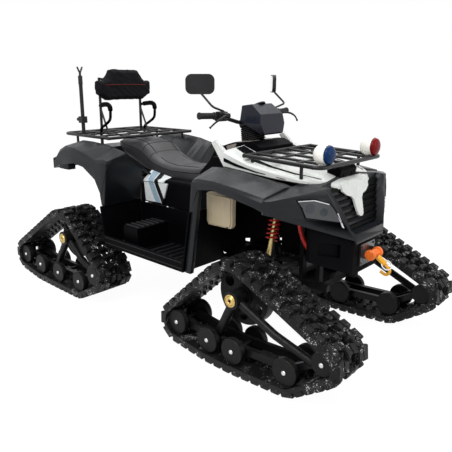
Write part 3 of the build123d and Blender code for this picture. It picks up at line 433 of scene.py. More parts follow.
class BeltLine:
    """Inner line of a belt round its wheels, by length."""

    def __init__(self, axle_x, wheels):
        circles = [(axle_x, AXLE_Z, SPROCKET_R)]
        circles += [(axle_x + dx, WHEEL_Z + dz, radius) for dx, dz, radius in wheels]
        points = []
        for x, z, radius in circles:
            for k in range(BELT_CIRCLE_STEPS):
                turn = 2 * math.pi * k / BELT_CIRCLE_STEPS
                points.append((x + radius * math.cos(turn), z + radius * math.sin(turn)))
        self.points = self.hull(sorted(points))
        self.lengths = [0.0]
        for a, b in zip(self.points, self.points[1:] + self.points[:1]):
            self.lengths.append(self.lengths[-1] + math.dist(a, b))
        self.total = self.lengths[-1]

    @staticmethod
    def hull(points):
        """Outer points in order."""
        halves = []
        for run in (points, points[::-1]):
            line = []
            for p in run:
                while len(line) > 1 and (
                    (line[-1][0] - line[-2][0]) * (p[1] - line[-2][1])
                    - (line[-1][1] - line[-2][1]) * (p[0] - line[-2][0])
                ) <= 0:
                    line.pop()
                line.append(p)
            halves.append(line[:-1])
        return halves[0] + halves[1]

    def spot(self, s):
        """Point at a length along the line."""
        s %= self.total
        low = min(bisect_right(self.lengths, s), len(self.points)) - 1
        a, b = self.points[low], self.points[(low + 1) % len(self.points)]
        part = (s - self.lengths[low]) / (self.lengths[low + 1] - self.lengths[low])
        return a[0] + (b[0] - a[0]) * part, a[1] + (b[1] - a[1]) * part

    def place(self, s, across, height):
        """Point on the right belt: along, in from its outer edge, out from its inner face."""
        x, z = self.spot(s)
        (x0, z0), (x1, z1) = self.spot(s - BELT_REACH), self.spot(s + BELT_REACH)
        size = math.hypot(x1 - x0, z1 - z0)
        return (x + (z1 - z0) / size * height, across - BELT_OUT_Y, z - (x1 - x0) / size * height)

    def block(self, start, along, low, high, layers, slant=0.0, scale=1.0):
        """Rings of a block from low to high across, in layers of (height, half its length, inset)."""
        rings = []
        for height, half, inset in layers:
            ring = []
            for end, across in ((-1, low + inset), (1, low + inset), (1, high - inset), (-1, high - inset)):
                lean = slant * (across - (low + high) / 2)
                s = start + (along + end * half + lean) * MM * scale
                ring.append(self.place(s, across * MM, height * MM))
            rings.append(ring)
        return rings


LUG_STEP = 0.062
BAND_STEPS = [-14, -7, 0, 7, 14, 22, 31, 40]
BAND_ACROSS = [0, 4, 30, 60, 92, 116, 139, 163, 195, 225, 251, 255]
BAND_HEIGHT = [16, 25, 29, 29, 25, 20, 20, 25, 29, 29, 25, 16]
WINDOW_COLUMNS = (4, 6)
WINDOW_ROWS = 4
BELT_INNER = 0.0003
# Lugs of one pitch: place along, from and to across, length at foot and top, foot height, top height, slant
LUGS = [
    (0, 1, 44, 50, 42, 18, 48, 0.10),
    (0, 46, 84, 40, 31, 18, 46, -0.25),
    (0, 171, 209, 40, 31, 18, 46, 0.25),
    (0, 211, 254, 50, 42, 18, 48, -0.10),
    (31, 86, 125, 32, 24, 16, 49, 0.22),
    (31, 130, 169, 32, 24, 16, 49, -0.22),
    (31, 48, 80, 13, 8, 18, 38, 0.3),
    (31, 175, 207, 13, 8, 18, 38, -0.3),
]
# Guide teeth, from and to across, and their layers: height, half the length, inset
GUIDES = [(98, 112), (186, 200)]
GUIDE_LAYERS = ((2, 11, 0), (-14, 7, 2), (-18, 4, 4))


def belt_shape(axle_x, wheels):
    """Belt with windows, tread blocks and guide teeth."""
    line = BeltLine(axle_x, wheels)
    count = round(line.total / LUG_STEP)
    pitch = line.total / count
    scale = pitch / LUG_STEP
    shape = Shape()
    rows = [i * pitch + step * MM * scale for i in range(count) for step in BAND_STEPS]
    columns = len(BAND_ACROSS)
    verts = []
    for s in rows:
        for across, height in zip(BAND_ACROSS, BAND_HEIGHT):
            verts.append(line.place(s, across * MM, height * MM))
        for across in BAND_ACROSS:
            verts.append(line.place(s, across * MM, BELT_INNER))

    def filled(row, column):
        if column < 0 or column >= columns - 1:
            return False
        return not (column in WINDOW_COLUMNS and row % len(BAND_STEPS) < WINDOW_ROWS)

    faces = []
    total = len(rows)
    for row in range(total):
        near, far = row * 2 * columns, (row + 1) % total * 2 * columns
        for column in range(columns - 1):
            if not filled(row, column):
                continue
            a, b, c, d = near + column, near + column + 1, far + column + 1, far + column
            faces.append((a, b, c, d))
            faces.append((a + columns, d + columns, c + columns, b + columns))
            if not filled(row, column - 1):
                faces.append((a, d, d + columns, a + columns))
            if not filled(row, column + 1):
                faces.append((b, b + columns, c + columns, c))
            if not filled(row - 1, column):
                faces.append((a, a + columns, b + columns, b))
            if not filled((row + 1) % total, column):
                faces.append((d, c, c + columns, d + columns))
    shape.add(verts, faces, [0] * len(faces))
    for i in range(count):
        for along, low, high, foot, top, low_h, high_h, slant in LUGS:
            layers = (
                (low_h - 1, foot / 2, 0),
                (high_h - 5, (foot * 0.25 + top * 0.75) / 2, 1.5),
                (high_h, top / 2 - 2, 4),
            )
            shape.prism(line.block(i * pitch, along, low, high, layers, slant, scale))
        for low, high in GUIDES:
            shape.prism(line.block(i * pitch, 0, low, high, GUIDE_LAYERS))
    return shape


WHEEL_IN = 0.018


def wheel_shape(x, z, radius, face_y, inward):
    """Road wheel seen from its outer face, with rim, groove and hub."""
    shape = Shape()
    rim = radius - 0.0003
    tyre = [
        (0.0, rim - 0.013), (0.0, rim - 0.004), (0.003, rim - 0.0006), (0.006, rim), (0.029, rim),
        (0.032, rim - 0.0006), (0.035, rim - 0.004), (0.035, rim - 0.013),
    ]
    disc = [
        (0.004, 0.0), (0.004, 0.021), (0.0015, 0.023), (0.0015, 0.030), (0.007, 0.034), (0.007, rim - 0.022),
        (0.0025, rim - 0.018), (0.0025, rim - 0.0135), (0.0065, rim - 0.0125), (0.030, rim - 0.0125),
        (0.030, 0.020), (0.035, 0.018), (0.035, 0.0),
    ]
    axis = (0, inward, 0)
    shape.lathe(tyre, (x, face_y, z), axis, 40)
    shape.lathe(disc, (x, face_y, z), axis, 40, 1)
    return shape


def bolt_shape(x, z, face_y):
    """Domed silver bolt on a wheel's outer face."""
    shape = Shape()
    dome = [(0.0045, 0.0), (0.0045, 0.0145), (0.0025, 0.0145), (0.0025, 0.0128), (-0.002, 0.0125),
            (-0.0050, 0.0105), (-0.0072, 0.0065), (-0.0078, 0.0)]
    shape.lathe(dome, (x, face_y, z), (0, 1, 0), 24, 2)
    return shape


def unit_wheels(axle_x, wheels):
    """All road wheels of a right unit."""
    shape = Shape()
    for dx, dz, radius in wheels:
        x, z = axle_x + dx, WHEEL_Z + dz
        outer = -BELT_OUT_Y + WHEEL_IN
        shape.join(wheel_shape(x, z, radius, outer, 1))
        shape.join(bolt_shape(x, z, outer))
        shape.join(wheel_shape(x, z, radius, -BELT_OUT_Y + BELT_WIDTH - WHEEL_IN, -1))
    return shape


def hub_cap_shape(axle_x):
    """Stepped brass cap with a dark socket."""
    shape = Shape()
    cap = [
        (0.0, 0.0), (0.0, 0.033), (-0.004, 0.033), (-0.0055, 0.0315), (-0.0055, 0.0285), (-0.0035, 0.0275),
        (-0.0035, 0.0250), (-0.0085, 0.0225), (-0.0108, 0.0190), (-0.0110, 0.0150), (-0.0085, 0.0110),
        (-0.0060, 0.0090), (-0.0030, 0.0085), (-0.0030, 0.0),
    ]
    centre = (axle_x, -0.636, AXLE_Z)
    shape.lathe(cap, centre, (0, 1, 0), 40)
    socket = [(-0.0029, 0.0), (-0.0029, 0.0075), (-0.0065, 0.0065), (-0.0065, 0.0)]
    shape.lathe(socket, centre, (0, 1, 0), 6, 1)
    return shape


WHEEL_FINISHES = ["road_wheel", "wheel_disc", "bolt_silver"]
CAP_FINISHES = ["hub_cap", "black_plastic"]


def unit_shapes(axle_x, wheels):
    """Belt, wheels and cap of a right unit."""
    return belt_shape(axle_x, wheels), unit_wheels(axle_x, wheels), hub_cap_shape(axle_x)


def make_units():
    """Belts, wheels and caps of the front units, which turn, and of the rear ones, which don't."""
    shapes = unit_shapes(*UNITS["front"])
    for end in ("front_right", "front_left"):
        belt, rollers, cap = shapes
        body = "track_" + end
        place_piece("tread_" + end, belt, ["belt_rubber"], ["belt_" + end], 25, body=body)
        place_piece("wheels_" + end, rollers, WHEEL_FINISHES, ["track_wheels_" + end], body=body)
        place_piece("cap_" + end, cap, CAP_FINISHES, ["hub_cap_" + end], body=body)
        shapes = [shape.mirrored() for shape in shapes]
    belt, rollers, cap = unit_shapes(*UNITS["rear"])
    place_piece("tread_rear_right", belt, ["belt_rubber"], ["belt_rear_right"], 25)
    place_piece("tread_rear_left", belt.mirrored(), ["belt_rubber"], ["belt_rear_left"], 25)
    rollers.add_left()
    cap.add_left()
    place_piece("wheels_rear", rollers, WHEEL_FINISHES, ["track_wheels_rear"])
    place_piece("caps_rear", cap, CAP_FINISHES, ["hub_caps_rear"])


# Lower and upper ends of the right shock absorbers
SHOCKS = [
    ((0.775, -0.310, 0.520), (0.775, -0.235, 0.797)),
    ((-0.723, -0.310, 0.506), (-0.723, -0.235, 0.797)),
]
COIL_TURNS = 6.5
COIL_R = 0.0285
TURN_STEPS = 18


def make_springs():
    """Coils of the four shock absorbers."""
    shape = Shape()
    for low, high in SHOCKS:
        low, high = Vector(low), Vector(high)
        way = (high - low).normalized()
        start, end = low + way * 0.106, high - way * 0.021
        length = (end - start).length
        side = way.orthogonal().normalized()
        other = way.cross(side)
        points = []
        for k in range(int(COIL_TURNS * TURN_STEPS) + 1):
            turn = 2 * math.pi * k / TURN_STEPS
            part = k / (COIL_TURNS * TURN_STEPS)
            rise = 0.005 + (length - 0.010) * part
            points.append(start + way * rise + (side * math.cos(turn) + other * math.sin(turn)) * COIL_R)
        shape.tube(points, 0.005, 8)
    shape.add_left()
    place_piece("coils", shape, ["spring_red"], ["shock_springs"])


make_units()
make_springs()

# Edges that turn less than this are left alone
LEAST_TURN = math.radians(12)


def reshaped(name, rules):
    """Copy of a CAD node with its own radius for each kind of edge, in its place."""
    work = bmesh.new()
    work.from_mesh(frame["nodes"][name].data)
    bmesh.ops.remove_doubles(work, verts=work.verts, dist=WELD)
    bmesh.ops.dissolve_limit(work, angle_limit=FLAT, verts=work.verts, edges=work.edges)
    for test, width, segments in rules:
        edges = []
        for edge in work.edges:
            if len(edge.link_faces) != 2 or edge.calc_face_angle(0) < LEAST_TURN:
                continue
            middle = (edge.verts[0].co + edge.verts[1].co) / 2
            along = (edge.verts[1].co - edge.verts[0].co).normalized()
            if test(middle, along) and edge.is_convex:
                edges.append(edge)
        bmesh.ops.bevel(
            work, geom=edges, offset=width, offset_type="OFFSET", segments=segments, profile=0.5,
            affect="EDGES", clamp_overlap=True, loop_slide=False,
        )
        bmesh.ops.remove_doubles(work, verts=work.verts, dist=2 * WELD)
    mesh = bpy.data.meshes.new(name + "_shell")
    work.to_mesh(mesh)
    work.free()
    mesh.materials.append(MATERIALS[SLOT_OF[name]])
    mesh.shade_smooth()
    piece = add_object(name + "_shell", mesh)
    round_edges(piece, 0.005, angle=32)
    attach(piece, "chassis")
    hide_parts(name)
    return piece


SEAT_TOP = [(-745, 1002), (-725, 1022), (-700, 1030), (-560, 1036), (-455, 1022), (-395, 985), (-340, 935),
            (-250, 903), (-150, 888), (60, 898), (130, 922), (178, 944), (194, 932)]
SEAT_FOOT = [(-745, 990), (-735, 985), (-590, 907), (-406, 840), (-140, 803), (140, 803), (194, 830)]
# Half section of the saddle, from its middle to its foot: share of its width, share of its height
SEAT_SECTION = [(0, 0), (0.3, 0.004), (0.55, 0.02), (0.74, 0.07), (0.88, 0.17), (0.97, 0.34), (0.995, 0.52),
                (1.0, 0.74), (0.985, 0.92), (0.93, 0.995), (0.45, 1.0)]
SEAT_HALF = [(-745, 118), (-700, 150), (-640, 162), (-420, 164), (-300, 162), (-150, 160), (60, 152),
             (194, 140)]
SEAM_PROUD = 0.0004


def lookup(table, x):
    """Straight-line value between the rows of a table."""
    for (x0, v0), (x1, v1) in zip(table, table[1:]):
        if x <= x1:
            return v0 + (v1 - v0) * (max(x, x0) - x0) / (x1 - x0)
    return table[-1][1]


def seat_point(x, part):
    """Point of the saddle's right half section."""
    side, drop = part
    top, foot = lookup(SEAT_TOP, x), lookup(SEAT_FOOT, x)
    return (x * MM, -side * lookup(SEAT_HALF, x) * MM, (top - (top - foot) * drop) * MM + RISE)


def make_seat():
    """Stepped saddle with crowned top, tucked sides, seams and piping."""
    rings = []
    for x in (-744, -738, -722, -695, *range(-660, 190, 34), 184, 191, 194):
        right = [seat_point(x, part) for part in SEAT_SECTION]
        left = [(px, -py, pz) for px, py, pz in right[:0:-1]]
        rings.append(right + left)
    shape = Shape()
    shape.prism(rings)
    seat = place_piece("saddle", shape, ["seat_vinyl"], ["seat"], 50)
    smooth = seat.modifiers.new("smooth", "SUBSURF")
    smooth.levels = smooth.render_levels = 2
    trim = Shape()
    for part, radius in (((0.975, 0.36), 0.0032), ((0.60, 0.025), 0.0016)):
        trim.tube([seat_point(x, part) for x in range(-715, 176, 15)], radius, 8)
    trim.add_left()
    for x in (-440, -365):
        right = [seat_point(x, part) for part in SEAT_SECTION[:6]]
        seam = [(px, -py, pz) for px, py, pz in right[::-1]] + right[1:]
        trim.tube([(px, py, pz + SEAM_PROUD) for px, py, pz in seam], 0.0015, 8)
    place_piece("saddle_piping", trim, ["seat_piping"], crease=60)


FOLD_DEPTH = 0.006
PAD_VOXEL = 0.006
PAD_PRESSURE = 4.0
PAD_FRAMES = 20


def soften(piece, cap):
    """Remeshes a closed piece and inflates it as padded cloth, with a cap on each point's way."""
    scene = bpy.context.scene
    remesh = piece.modifiers.new("remesh", "REMESH")
    remesh.mode = "VOXEL"
    remesh.voxel_size = PAD_VOXEL
    depsgraph = bpy.context.evaluated_depsgraph_get()
    fine = bpy.data.meshes.new_from_object(piece.evaluated_get(depsgraph))
    piece.modifiers.clear()
    piece.data = fine
    start = [vertex.co.copy() for vertex in fine.vertices]
    cloth = piece.modifiers.new("cloth", "CLOTH")
    cloth.settings.use_pressure = True
    cloth.settings.uniform_pressure_force = PAD_PRESSURE
    cloth.settings.effector_weights.gravity = 0
    cloth.point_cache.frame_start = 1
    cloth.point_cache.frame_end = PAD_FRAMES
    for step in range(1, PAD_FRAMES + 1):
        scene.frame_set(step)
    depsgraph = bpy.context.evaluated_depsgraph_get()
    blown = piece.evaluated_get(depsgraph).to_mesh()
    moved = [vertex.co.copy() for vertex in blown.vertices]
    piece.modifiers.clear()
    scene.frame_set(1)
    for vertex, first, last in zip(fine.vertices, start, moved):
        way = last - first
        if way.length > cap:
            way *= cap / way.length
        vertex.co = first + way
    normals = [vertex.normal.copy() for vertex in fine.vertices]
    for vertex, normal in zip(fine.vertices, normals):
        place = vertex.co
        fold = perlin.noise(Vector((place.y * 16 + place.z * 24, place.z * 8 - place.y * 5, place.x * 6)))
        vertex.co = place + normal * FOLD_DEPTH * (abs(fold) ** 0.6 - 0.5)
    fine.shade_smooth()
    smooth = piece.modifiers.new("smooth", "SUBSURF")
    smooth.levels = smooth.render_levels = 1


PAD_LINE = [
    (165, 1284), (240, 1328), (246, 1362), (246, 1418), (232, 1430), (188, 1438), (162, 1466), (124, 1514),
    (90, 1518),
]
PAD_MIDDLE = 1.415


def make_pad():
    """Backrest cushion with crowned front, wings and a dark red seam."""
    outline = PAD_LINE + [(-y, z) for y, z in PAD_LINE[::-1]]
    low, high = -0.856, -0.802
    rings = []
    for x, inset in (
        (low, 0.008), (low + 0.008, 0.0), (high - 0.014, 0.0), (high - 0.004, 0.007), (high, 0.018),
    ):
        ring = []
        for y, z in outline:
            y, z = y * MM, z * MM + RISE
            away = Vector((y, z - PAD_MIDDLE)).normalized()
            ring.append((x, y - away.x * inset, z - away.y * inset))
        rings.append(ring)
    shape = Shape()
    shape.prism(rings)
    pad = place_piece("backrest_cushion", shape, ["backrest_cloth"], ["backrest_pad"])
    soften(pad, 0.010)
    trim = Shape()
    points, faces = [v.co for v in pad.data.vertices], [p.vertices[:] for p in pad.data.polygons]
    surface = BVHTree.FromPolygons(points, faces)
    line = []
    for k in range(-18, 19):
        y = k * 0.01
        front = surface.ray_cast(Vector((0, y, 1.420 + 0.004 * math.cos(y * 9))), Vector((-1, 0, 0)))[0]
        line.append(front + Vector((0.0006, 0, 0)))
    trim.tube(line, 0.0026, 8)
    place_piece("backrest_seam", trim, ["seam_red"], crease=60)


NOSE_CORNER = Vector((0.971, -0.573, 0))
NOSE_ALONG = Vector((0.227, 0.429, 0)).normalized()
NOSE_OUT = Vector((NOSE_ALONG.y, -NOSE_ALONG.x, 0))


def nose_point(along, z, out):
    """Point on the right slanted nose face, in millimetres along, up (CAD height) and out."""
    return tuple(NOSE_CORNER + NOSE_ALONG * along * MM + NOSE_OUT * out * MM + Vector((0, 0, z * MM + RISE)))


def nose_plate(outline, low, high):
    """Plate on the right slanted nose face."""
    shape = Shape()
    shape.prism([[nose_point(a, z, low) for a, z in outline], [nose_point(a, z, high) for a, z in outline]])
    return shape


HEADLIGHT = [(138, 893), (238, 892), (323, 865), (353, 828), (393, 760), (191, 800), (169, 853)]


def make_lamps():
    """Frames and bowls of the headlights, and the pale strips at their ends and along their tops."""
    rim = Shape()
    count = len(HEADLIGHT)
    centre = [sum(point[k] for point in HEADLIGHT) / count for k in (0, 1)]
    for index in range(count):
        first, second = HEADLIGHT[index], HEADLIGHT[(index + 1) % count]
        rim.join(nose_plate([first, second, toward(second, centre, 5), toward(first, centre, 5)], 3, 6))
    rim.add_left()
    place_piece("headlight_rims", rim, ["black_plastic"], rounding=0.001)
    bright = nose_plate([(360, 812), (368, 812), (408, 733), (396, 738)], 0.2, 5)
    brow = [(150, 887), (236, 886), (318, 861), (316, 857), (234, 882), (152, 883)]
    bright.join(nose_plate(brow, 4.2, 4.8))
    bright.add_left()
    place_piece("headlight_strips", bright, ["strip_silver"], rounding=0.0008)
    glow = Shape()
    for a, z, radius in ((215, 846, 24), (290, 822, 20)):
        bowl = [(0.0, radius * MM), (0.0008, radius * MM), (0.0008, (radius - 3) * MM),
                (0.0002, (radius - 5) * MM), (0.0002, 0.0)]
        glow.lathe(bowl, nose_point(a, z, 4.1), NOSE_OUT, 32)
    glow.add_left()
    place_piece("headlight_bowls", glow, ["lamp_bowl"])


# Rows of the hood: place along it, half width, foot, shoulder, top
HOOD_ROWS = [(470, 326, 968, 1060, 1075), (640, 330, 955, 1008, 1018), (800, 325, 942, 985, 1000),
             (950, 300, 932, 962, 982), (1030, 240, 922, 950, 962), (1085, 160, 905, 930, 938)]


def hood_point(x, across, lift):
    """Point on the right half of the hood: across 0 at its foot, 1 at its shoulder, 2 at its flat top."""
    half, low, shoulder, top = (lookup([(row[0], row[k]) for row in HOOD_ROWS], x) for k in (1, 2, 3, 4))
    if across <= 1:
        return (x * MM, -(half + lift) * MM, (low + 8 + (shoulder - 18 - low) * across) * MM + RISE)
    part = across - 1
    y = half - 12 + (half * 0.5 - half + 12) * part
    z = shoulder + (top - shoulder) * part
    return (x * MM, -y * MM, (z + lift) * MM + RISE)


# Dark lines on the hood: places along it with their lower and upper edges across
HOOD_LINES = [
    [(472, 0.35, 0.62), (560, 0.28, 0.55), (700, 0.28, 0.46), (860, 0.3, 0.42), (990, 0.3, 0.38)],
    [(480, 1.55, 1.98), (560, 1.45, 1.95), (640, 1.30, 1.55), (760, 1.22, 1.34), (900, 1.20, 1.28),
     (1020, 1.2, 1.25)],
]
INLAY = 3.0
TANK_TOP = [(250, 1040), (390, 1085), (520, 1098)]
# Half widths of the tank cover along it
TANK_HALF = [(300, 150), (345, 152), (400, 152), (455, 150), (505, 146)]


def make_hood_trim():
    """Thin dark inlays of the hood, and the covers on both halves of the tank."""
    shape = Shape()
    for rows in HOOD_LINES:
        rings = []
        for x, low, high in rows:
            corners = ((low, INLAY), (high, INLAY), (high, -INLAY), (low, -INLAY))
            rings.append([hood_point(x, across, lift) for across, lift in corners])
        shape.prism(rings)
    shape.add_left()
    place_piece("hood_inlays", shape, ["black_plastic"], crease=30)
    cover = Shape()
    rings = []
    for x, half in TANK_HALF:
        top = lookup(TANK_TOP, x)
        ring = [(52, 2.0), (70, 4.5), (120, 4.0), (half - 6, 2.0), (half + 3.5, -8), (half + 3, -34),
                (half - 1, -36), (half - 1, -10), (120, -1), (52, -1)]
        rings.append(right_section(x, [(y, top + up) for y, up in ring]))
    cover.prism(rings)
    cover.add_left()
    place_piece("tank_covers", cover, ["tank_bronze"], rounding=0.002)


def make_hoses():
    """Two red hoses from the nose to the radiator's end tanks."""
    route = [(0.955, -0.294, 0.787), (0.960, -0.294, 0.687), (1.026, -0.294, 0.626)]
    for suffix, side in (("right", 1), ("left", -1)):
        data = bpy.data.curves.new("hose_" + suffix, "CURVE")
        data.dimensions = "3D"
        data.bevel_depth = 0.011
        data.bevel_resolution = 5
        data.use_fill_caps = True
        line = data.splines.new("NURBS")
        line.points.add(len(route) - 1)
        for point, (x, y, z) in zip(line.points, route):
            point.co = (x, y * side, z, 1)
        line.order_u = 3
        line.use_endpoint_u = True
        line.resolution_u = 16
        data.materials.append(MATERIALS["hose_red"])
        hose = add_object("hose_" + suffix, data)
        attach(hose, "chassis")
        if side == 1:
            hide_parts("hoses")


SHACKLE_CENTRE = Vector((1.286, 0.030, 0.530))
SHACKLE_DOWN = Vector((0.70, 0.11, -0.70))
SHACKLE_ACROSS = Vector((0.35, 0.86, 0.35))
SHACKLE_R = 0.026
# Where the notch of the lower bumper starts, on the right
NOTCH = Vector((1.062, -0.355, 0))


def make_winch():
    """Steel plate with bolts, an orange drum between steel cheeks, and the shackle of the hook."""
    shape = Shape()
    plate = [(-72, 505), (-72, 620), (72, 620), (72, 505)]
    shape.prism([section(x, plate) for x in (1180, 1189)], 1)
    for side in (-1, 1):
        outline = [(1188, 541), (1188, 589), (1214, 587), (1222, 576), (1224, 565), (1222, 554), (1214, 543)]
        shape.prism(slab(outline, side * 40, side * 46), 1)
        for z in (520, 606):
            shape.lathe([(0, 0.0), (0.006, 0.0), (0.006, 0.006), (0.0, 0.007)][::-1],
                        (1.189, side * 0.06, z * MM + RISE), (1, 0, 0), 6, 1)
    drum = [(-0.051, 0.0), (-0.051, 0.024), (-0.048, 0.028), (-0.032, 0.028), (-0.030, 0.021)]
    drum += [(-0.024 + 0.0048 * k + 0.0024 * j, 0.0205 + 0.0014 * j) for k in range(10) for j in (0, 1)]
    drum += [(0.030, 0.021), (0.032, 0.028), (0.048, 0.028), (0.051, 0.024), (0.051, 0.0)]
    shape.lathe(drum, (1.225, 0, 0.565 + RISE), (0, 1, 0), 32)
    place_piece("winch_drum", shape, ["winch_orange", "steel_bright"], ["winch"], rounding=0.0012)
    shackle = Shape()
    ring = []
    for k in range(25):
        turn = math.radians(15 * k)
        spoke = SHACKLE_DOWN * SHACKLE_R * math.cos(turn) + SHACKLE_ACROSS * SHACKLE_R * math.sin(turn)
        ring.append(SHACKLE_CENTRE + spoke)
    shackle.tube(ring, 0.0042, 12)
    past = Vector((0.004, 0.014, 0.004))
    shackle.tube([ring[18] + past, ring[6] - past], 0.0046, 12)
    place_piece("hook_shackle", shackle, ["strip_silver"])


def make_bumper():
    """Lower bumper with the notch at each end that shows the hoses and the radiator."""
    bumper = reshaped("lower_bumper", [(lambda m, a: abs(a.z) > 0.8 and m.x > 1.17, 0.012, 4)])
    work = bmesh.new()
    work.from_mesh(bumper.data)
    for side in (1, -1):
        along, place = (Vector((v.x, v.y * side, 0)) for v in (NOSE_ALONG, NOTCH))
        whole = work.verts[:] + work.edges[:] + work.faces[:]
        bmesh.ops.bisect_plane(work, geom=whole, plane_co=place, plane_no=along)
        far = [v for v in work.verts if (v.co - place).dot(along) < -TINY and v.co.y * side < 0]
        bmesh.ops.delete(work, geom=far, context="VERTS")
        bmesh.ops.edgeloop_fill(work, edges=[e for e in work.edges if e.is_boundary])
    work.to_mesh(bumper.data)
    work.free()


make_bumper()
make_seat()
make_pad()
make_lamps()
make_hood_trim()
make_hoses()
make_winch()
reshaped("fascia", [
    (lambda m, a: abs(a.z) > 0.8 and abs(abs(m.y) - 0.573) < 0.004 and abs(m.x - 0.971) < 0.004, 0.060, 8),
    (lambda m, a: abs(a.z) < 0.5 and m.z > 0.90 and m.x < 1.10 and abs(m.y) > 0.2, 0.022, 5),
])
reshaped("front_fenders", [(lambda m, a: abs(a.x) > 0.85 and m.z > 0.90 and abs(m.y) > 0.53, 0.030, 5)])
reshaped("rear_fenders", [(lambda m, a: abs(a.x) > 0.75 and m.z > 0.90 and abs(m.y) > 0.53, 0.030, 5)])


# Upper edge of the side covers, which the upper covers meet
PANEL_TOP = [(-340, 779), (-60, 796), (190, 797)]


def make_seat_base():
    """Base pan under the saddle and the sloping covers from the side covers up to it."""
    shape = Shape()
    rings = []
    for x in (-600, -500, -400, -300, -140, 0, 140, 190):
        top = lookup(SEAT_FOOT, x) + 12
        half = min(lookup(SEAT_HALF, x) - 8, 150)
        low = 800 if x > -345 else 800 + (-345 - x) * 0.30
        ring = [(half, low), (half, top), (-half, top), (-half, low)]
        rings.append(section(x, ring))
    shape.prism(rings)
    place_piece("seat_base", shape, ["black_plastic"], rounding=0.003)
    panel, cover = Shape(), Shape()
    for piece, places in ((panel, (-334, -240, -132)), (cover, (-131, 0, 100, 190))):
        rings = []
        for x in places:
            low = lookup(PANEL_TOP, x)
            high = lookup(SEAT_FOOT, x) + 16
            lean = 235 if piece is cover else 246
            ring = [(lean, low), (lean - 8, low + 14), (168, high), (160, high - 4), (lean - 12, low - 1)]
            rings.append(right_section(x, ring))
        piece.prism(rings)
        piece.add_left()
    place_piece("upper_panels", panel, ["panel_light"], rounding=0.002)
    place_piece("upper_covers", cover, ["black_plastic"], rounding=0.002)


ARMREST = [(-868, 188, 1254), (-820, 200, 1262), (-760, 203, 1266), (-728, 203, 1250), (-724, 203, 1210),
           (-735, 203, 1160), (-790, 203, 1124), (-842, 202, 1096), (-852, 201, 1060), (-849, 200, 1000),
           (-849, 200, 972)]


def curve_points(points, steps=5):
    """Points on a smooth line through the given points."""
    points = [Vector(p) for p in points]
    line = []
    for i in range(len(points) - 1):
        a, b = points[max(i - 1, 0)], points[i]
        c, d = points[i + 1], points[min(i + 2, len(points) - 1)]
        for k in range(steps):
            t = k / steps
            square, cube = 2 * a - 5 * b + 4 * c - d, 3 * b - a - 3 * c + d
            line.append(0.5 * (2 * b + (c - a) * t + square * t * t + cube * t ** 3))
    line.append(points[-1])
    return line


def make_armrests():
    """Curved side rests between the backrest and the rear deck."""
    shape = Shape()
    points = curve_points([(x * MM, -y * MM, z * MM + RISE) for x, y, z in ARMREST])
    sizes = [0.017 if 3 <= k <= 18 else 0.010 for k in range(len(points))]
    shape.tube(points, sizes, 12)
    shape.add_left()
    place_piece("side_rests", shape, ["black_plastic"], crease=50)


def make_rack_box():
    """Small dark box with two round caps under the front rack."""
    shape = Shape()
    outline = [(985, 968), (985, 1014), (1052, 1006), (1066, 990), (1060, 955)]
    shape.prism(slab(outline, -105, 55))
    for y in (-0.062, 0.022):
        shape.lathe([(0, 0.0), (0, 0.016), (0.004, 0.0175), (0.006, 0.013), (0.004, 0.0)],
                    (1.059, y, 0.995), (1, 0, 0.1), 24)
    place_piece("rack_box", shape, ["black_plastic"], rounding=0.004)


GRIP_RIBS = 13


def make_controls():
    """Ribbed grips, switch boxes, levers and bar ends."""
    shape = Shape()
    for side in (-1, 1):
        start = Vector((0.368, side * 0.290, 1.239 + RISE))
        end = Vector((0.355, side * 0.401, 1.243 + RISE))
        way = (end - start).normalized()
        length = (end - start).length
        profile = [(0.0, 0.0), (0.0, 0.021), (0.004, 0.0215), (0.007, 0.0205), (0.009, 0.0165)]
        for k in range(GRIP_RIBS):
            at = 0.012 + k * (length - 0.026) / GRIP_RIBS
            profile += [(at, 0.0160), (at + 0.0018, 0.0172), (at + 0.0048, 0.0172), (at + 0.0062, 0.0160)]
        profile += [(length - 0.011, 0.0165), (length - 0.009, 0.0195), (length - 0.002, 0.0195),
                    (length, 0.016), (length, 0.0)]
        shape.lathe(profile, start, way, 24)
        box = [(350, 1214), (352, 1252), (362, 1262), (388, 1260), (397, 1248), (395, 1216), (384, 1208),
               (362, 1207)]
        shape.prism(slab(box, side * 206, side * 271))
        for z, y in ((1251, 0.222), (1238, 0.240), (1224, 0.255)):
            shape.lathe([(0, 0.0), (0, 0.0075), (0.004, 0.0075), (0.006, 0.005), (0.006, 0.0)][::-1],
                        (0.351, side * y, z * MM + RISE), (-1, 0, 0), 16)
        cap = [(384, 1222), (384, 1252), (408, 1256), (430, 1252), (434, 1236), (426, 1226), (404, 1220)]
        shape.prism(slab(cap, side * 228, side * 262))
        lever = [(0.424, 0.256, 1.240), (0.440, 0.285, 1.239), (0.450, 0.325, 1.229), (0.448, 0.368, 1.210),
                 (0.440, 0.402, 1.184)]
        points = curve_points([(x, side * y, z + RISE) for x, y, z in lever])
        shape.tube(points, [0.0075 - 0.00015 * k for k in range(len(points) - 1)] + [0.0075], 10)
    place_piece("hand_controls", shape, ["control_rubber"], ["controls"], rounding=0.0015, body="steering")


